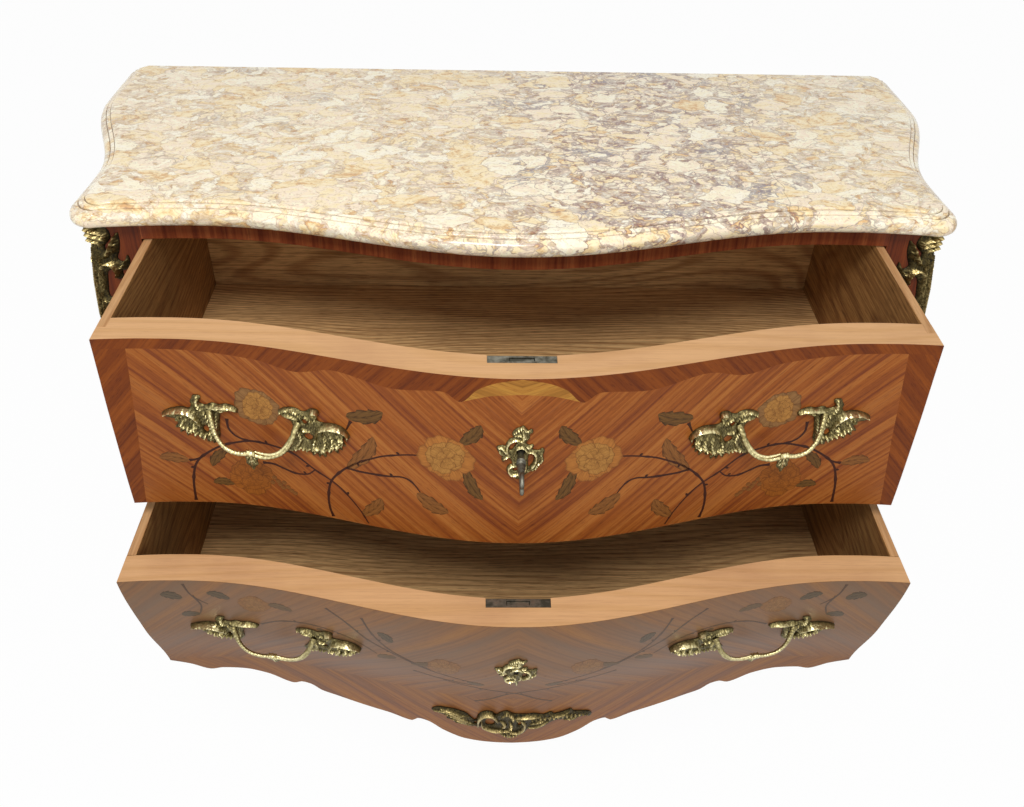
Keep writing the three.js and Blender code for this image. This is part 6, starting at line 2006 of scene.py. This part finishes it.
def main() -> None:
    """Builds the chest and its studio, piece by piece."""
    logging.basicConfig(level=logging.INFO, format="%(message)s")
    tulipwood = Veneer("tulipwood_veneer_polished").build()
    tulipwood_border = Veneer("tulipwood_border_polished", "#5E2806", "#733609", "#884612", "#501A06").build()
    tulipwood_arch = Veneer("tulipwood_arch_polished", "#86581F", "#A36E2C", "#BA8638", "#8A5A24").build()
    # The lower front's veneer carries a greyish layer higher up: dust together with a painted sheen.
    faded = Veneer("tulipwood_veneer_faded", "#6E3A12", "#8A511E", "#A2682A", "#5C2E0E", "#76604A", 0.66,
                   (0.25, 0.43)).build()
    kingwood = Veneer("kingwood_veneer_polished", "#4A1C08", "#672C0E", "#7E3C16", "#3A1408").build()
    frieze = Veneer("rosewood_frieze_polished", "#5A2410", "#7A3A1C", "#92502A", "#481A0C").build()
    core = BoardWood("oak_core_planed", Along.X, "#8A6238", "#5E3E20", "#3E2A1A").build()
    edge = BoardWood("limewood_edge_planed", Along.X, "#D3A474", "#CD9E6C", "#A07050", 16.0, grime_share=0.4,
                     streak_share=0.14, pore_share=0.1).build()
    # Paler copy of the drawer sides' oak for their top edges: painted light.
    painted_light_top_oak = BoardWood("limewood_lip_planed", Along.Y, "#C89A6A", "#BC8C5C", "#8A6244", 9.0,
                         streak_share=0.3, pore_share=0.2).build()
    oak_across = BoardWood("oak_board_sawn_across", Along.X).build()
    oak_lower = BoardWood("oak_board_sawn_lower", Along.X, late="#CCA06C", heart=(0.12, -0.3, 0.3)).build()
    # A darker copy of the oak for the inward-facing sides, runners and guides: painted shade.
    oak_inward_shaded = BoardWood("oak_board_sawn_inward", Along.Y, "#B0824C", "#966A3C", "#4C361F", 6.0).build()
    oak_back = BoardWood("oak_back_boards", Along.X, "#9A764A", "#846240", "#4A3622", 7.0, boards_mm=178.0).build()
    bronze = GiltBronze("bronze_cast_gilt").build()
    # A darker copy of the gilt bronze for the apron mount and the corner chutes: painted shade.
    shade_painted_bronze = GiltBronze("bronze_cast_worn", "#1E1A10", "#5E5232", "#B8A470").build()
    steel = ForgedMetal("steel_filed_tarnished", "#8A877A", "#504D42").build()
    brass = ForgedMetal("brass_filed_tarnished", "#B8974E", "#7A6030").build()
    # Near-black finish of the patch behind each keyhole: painted shadow.
    hole_shadow = ForgedMetal("iron_blackened", "#1E1812", "#120E0A").build()
    inlays = [InlayWood(*wood).build() for wood in (
        ("sycamore_stained_grey", "#8A6238", "#5E3A1C"), ("boxwood_scorched", "#A87639", "#74461C"),
        ("holly_stained_olive", "#694820", "#38220C"), ("pear_stained_brown", "#875628", "#522F12"),
        ("purpleheart_stem", "#3E1C10", "#26120A"), ("cherry_scorched", "#A96C30", "#7E4A20"),
        ("padouk_scorched", "#94551D", "#6A3814"))]
    faded_inlays = [InlayWood(*wood).build() for wood in (
        ("sycamore_faded_grey", "#85643E", "#684828"), ("boxwood_faded", "#8E6436", "#704822"),
        ("holly_faded_olive", "#5C4A32", "#40301C"), ("pear_faded_brown", "#6C5232", "#4C3620"),
        ("purpleheart_faded_stem", "#5A4230", "#40301F"), ("cherry_faded", "#8A5E30", "#6A4220"))]
    Studio().build()
    MarbleSlab(Breccia("breccia_marble_polished").build()).build()
    CaseWork(tulipwood, kingwood, frieze, core).build()
    DrawerFront(UPPER, tulipwood, tulipwood_border, tulipwood_arch, core, edge, inlays, UPPER_SPRAY).build()
    DrawerFront(LOWER, faded, faded, faded, core, edge, faded_inlays, LOWER_SPRAY).build()
    Mounts(bronze, shade_painted_bronze, hole_shadow).build()
    KeyWork(steel).build()
    InnerWork(oak_across, oak_lower, oak_inward_shaded, oak_back, steel, brass, painted_light_top_oak).build()


if __name__ == "__main__":
    main()
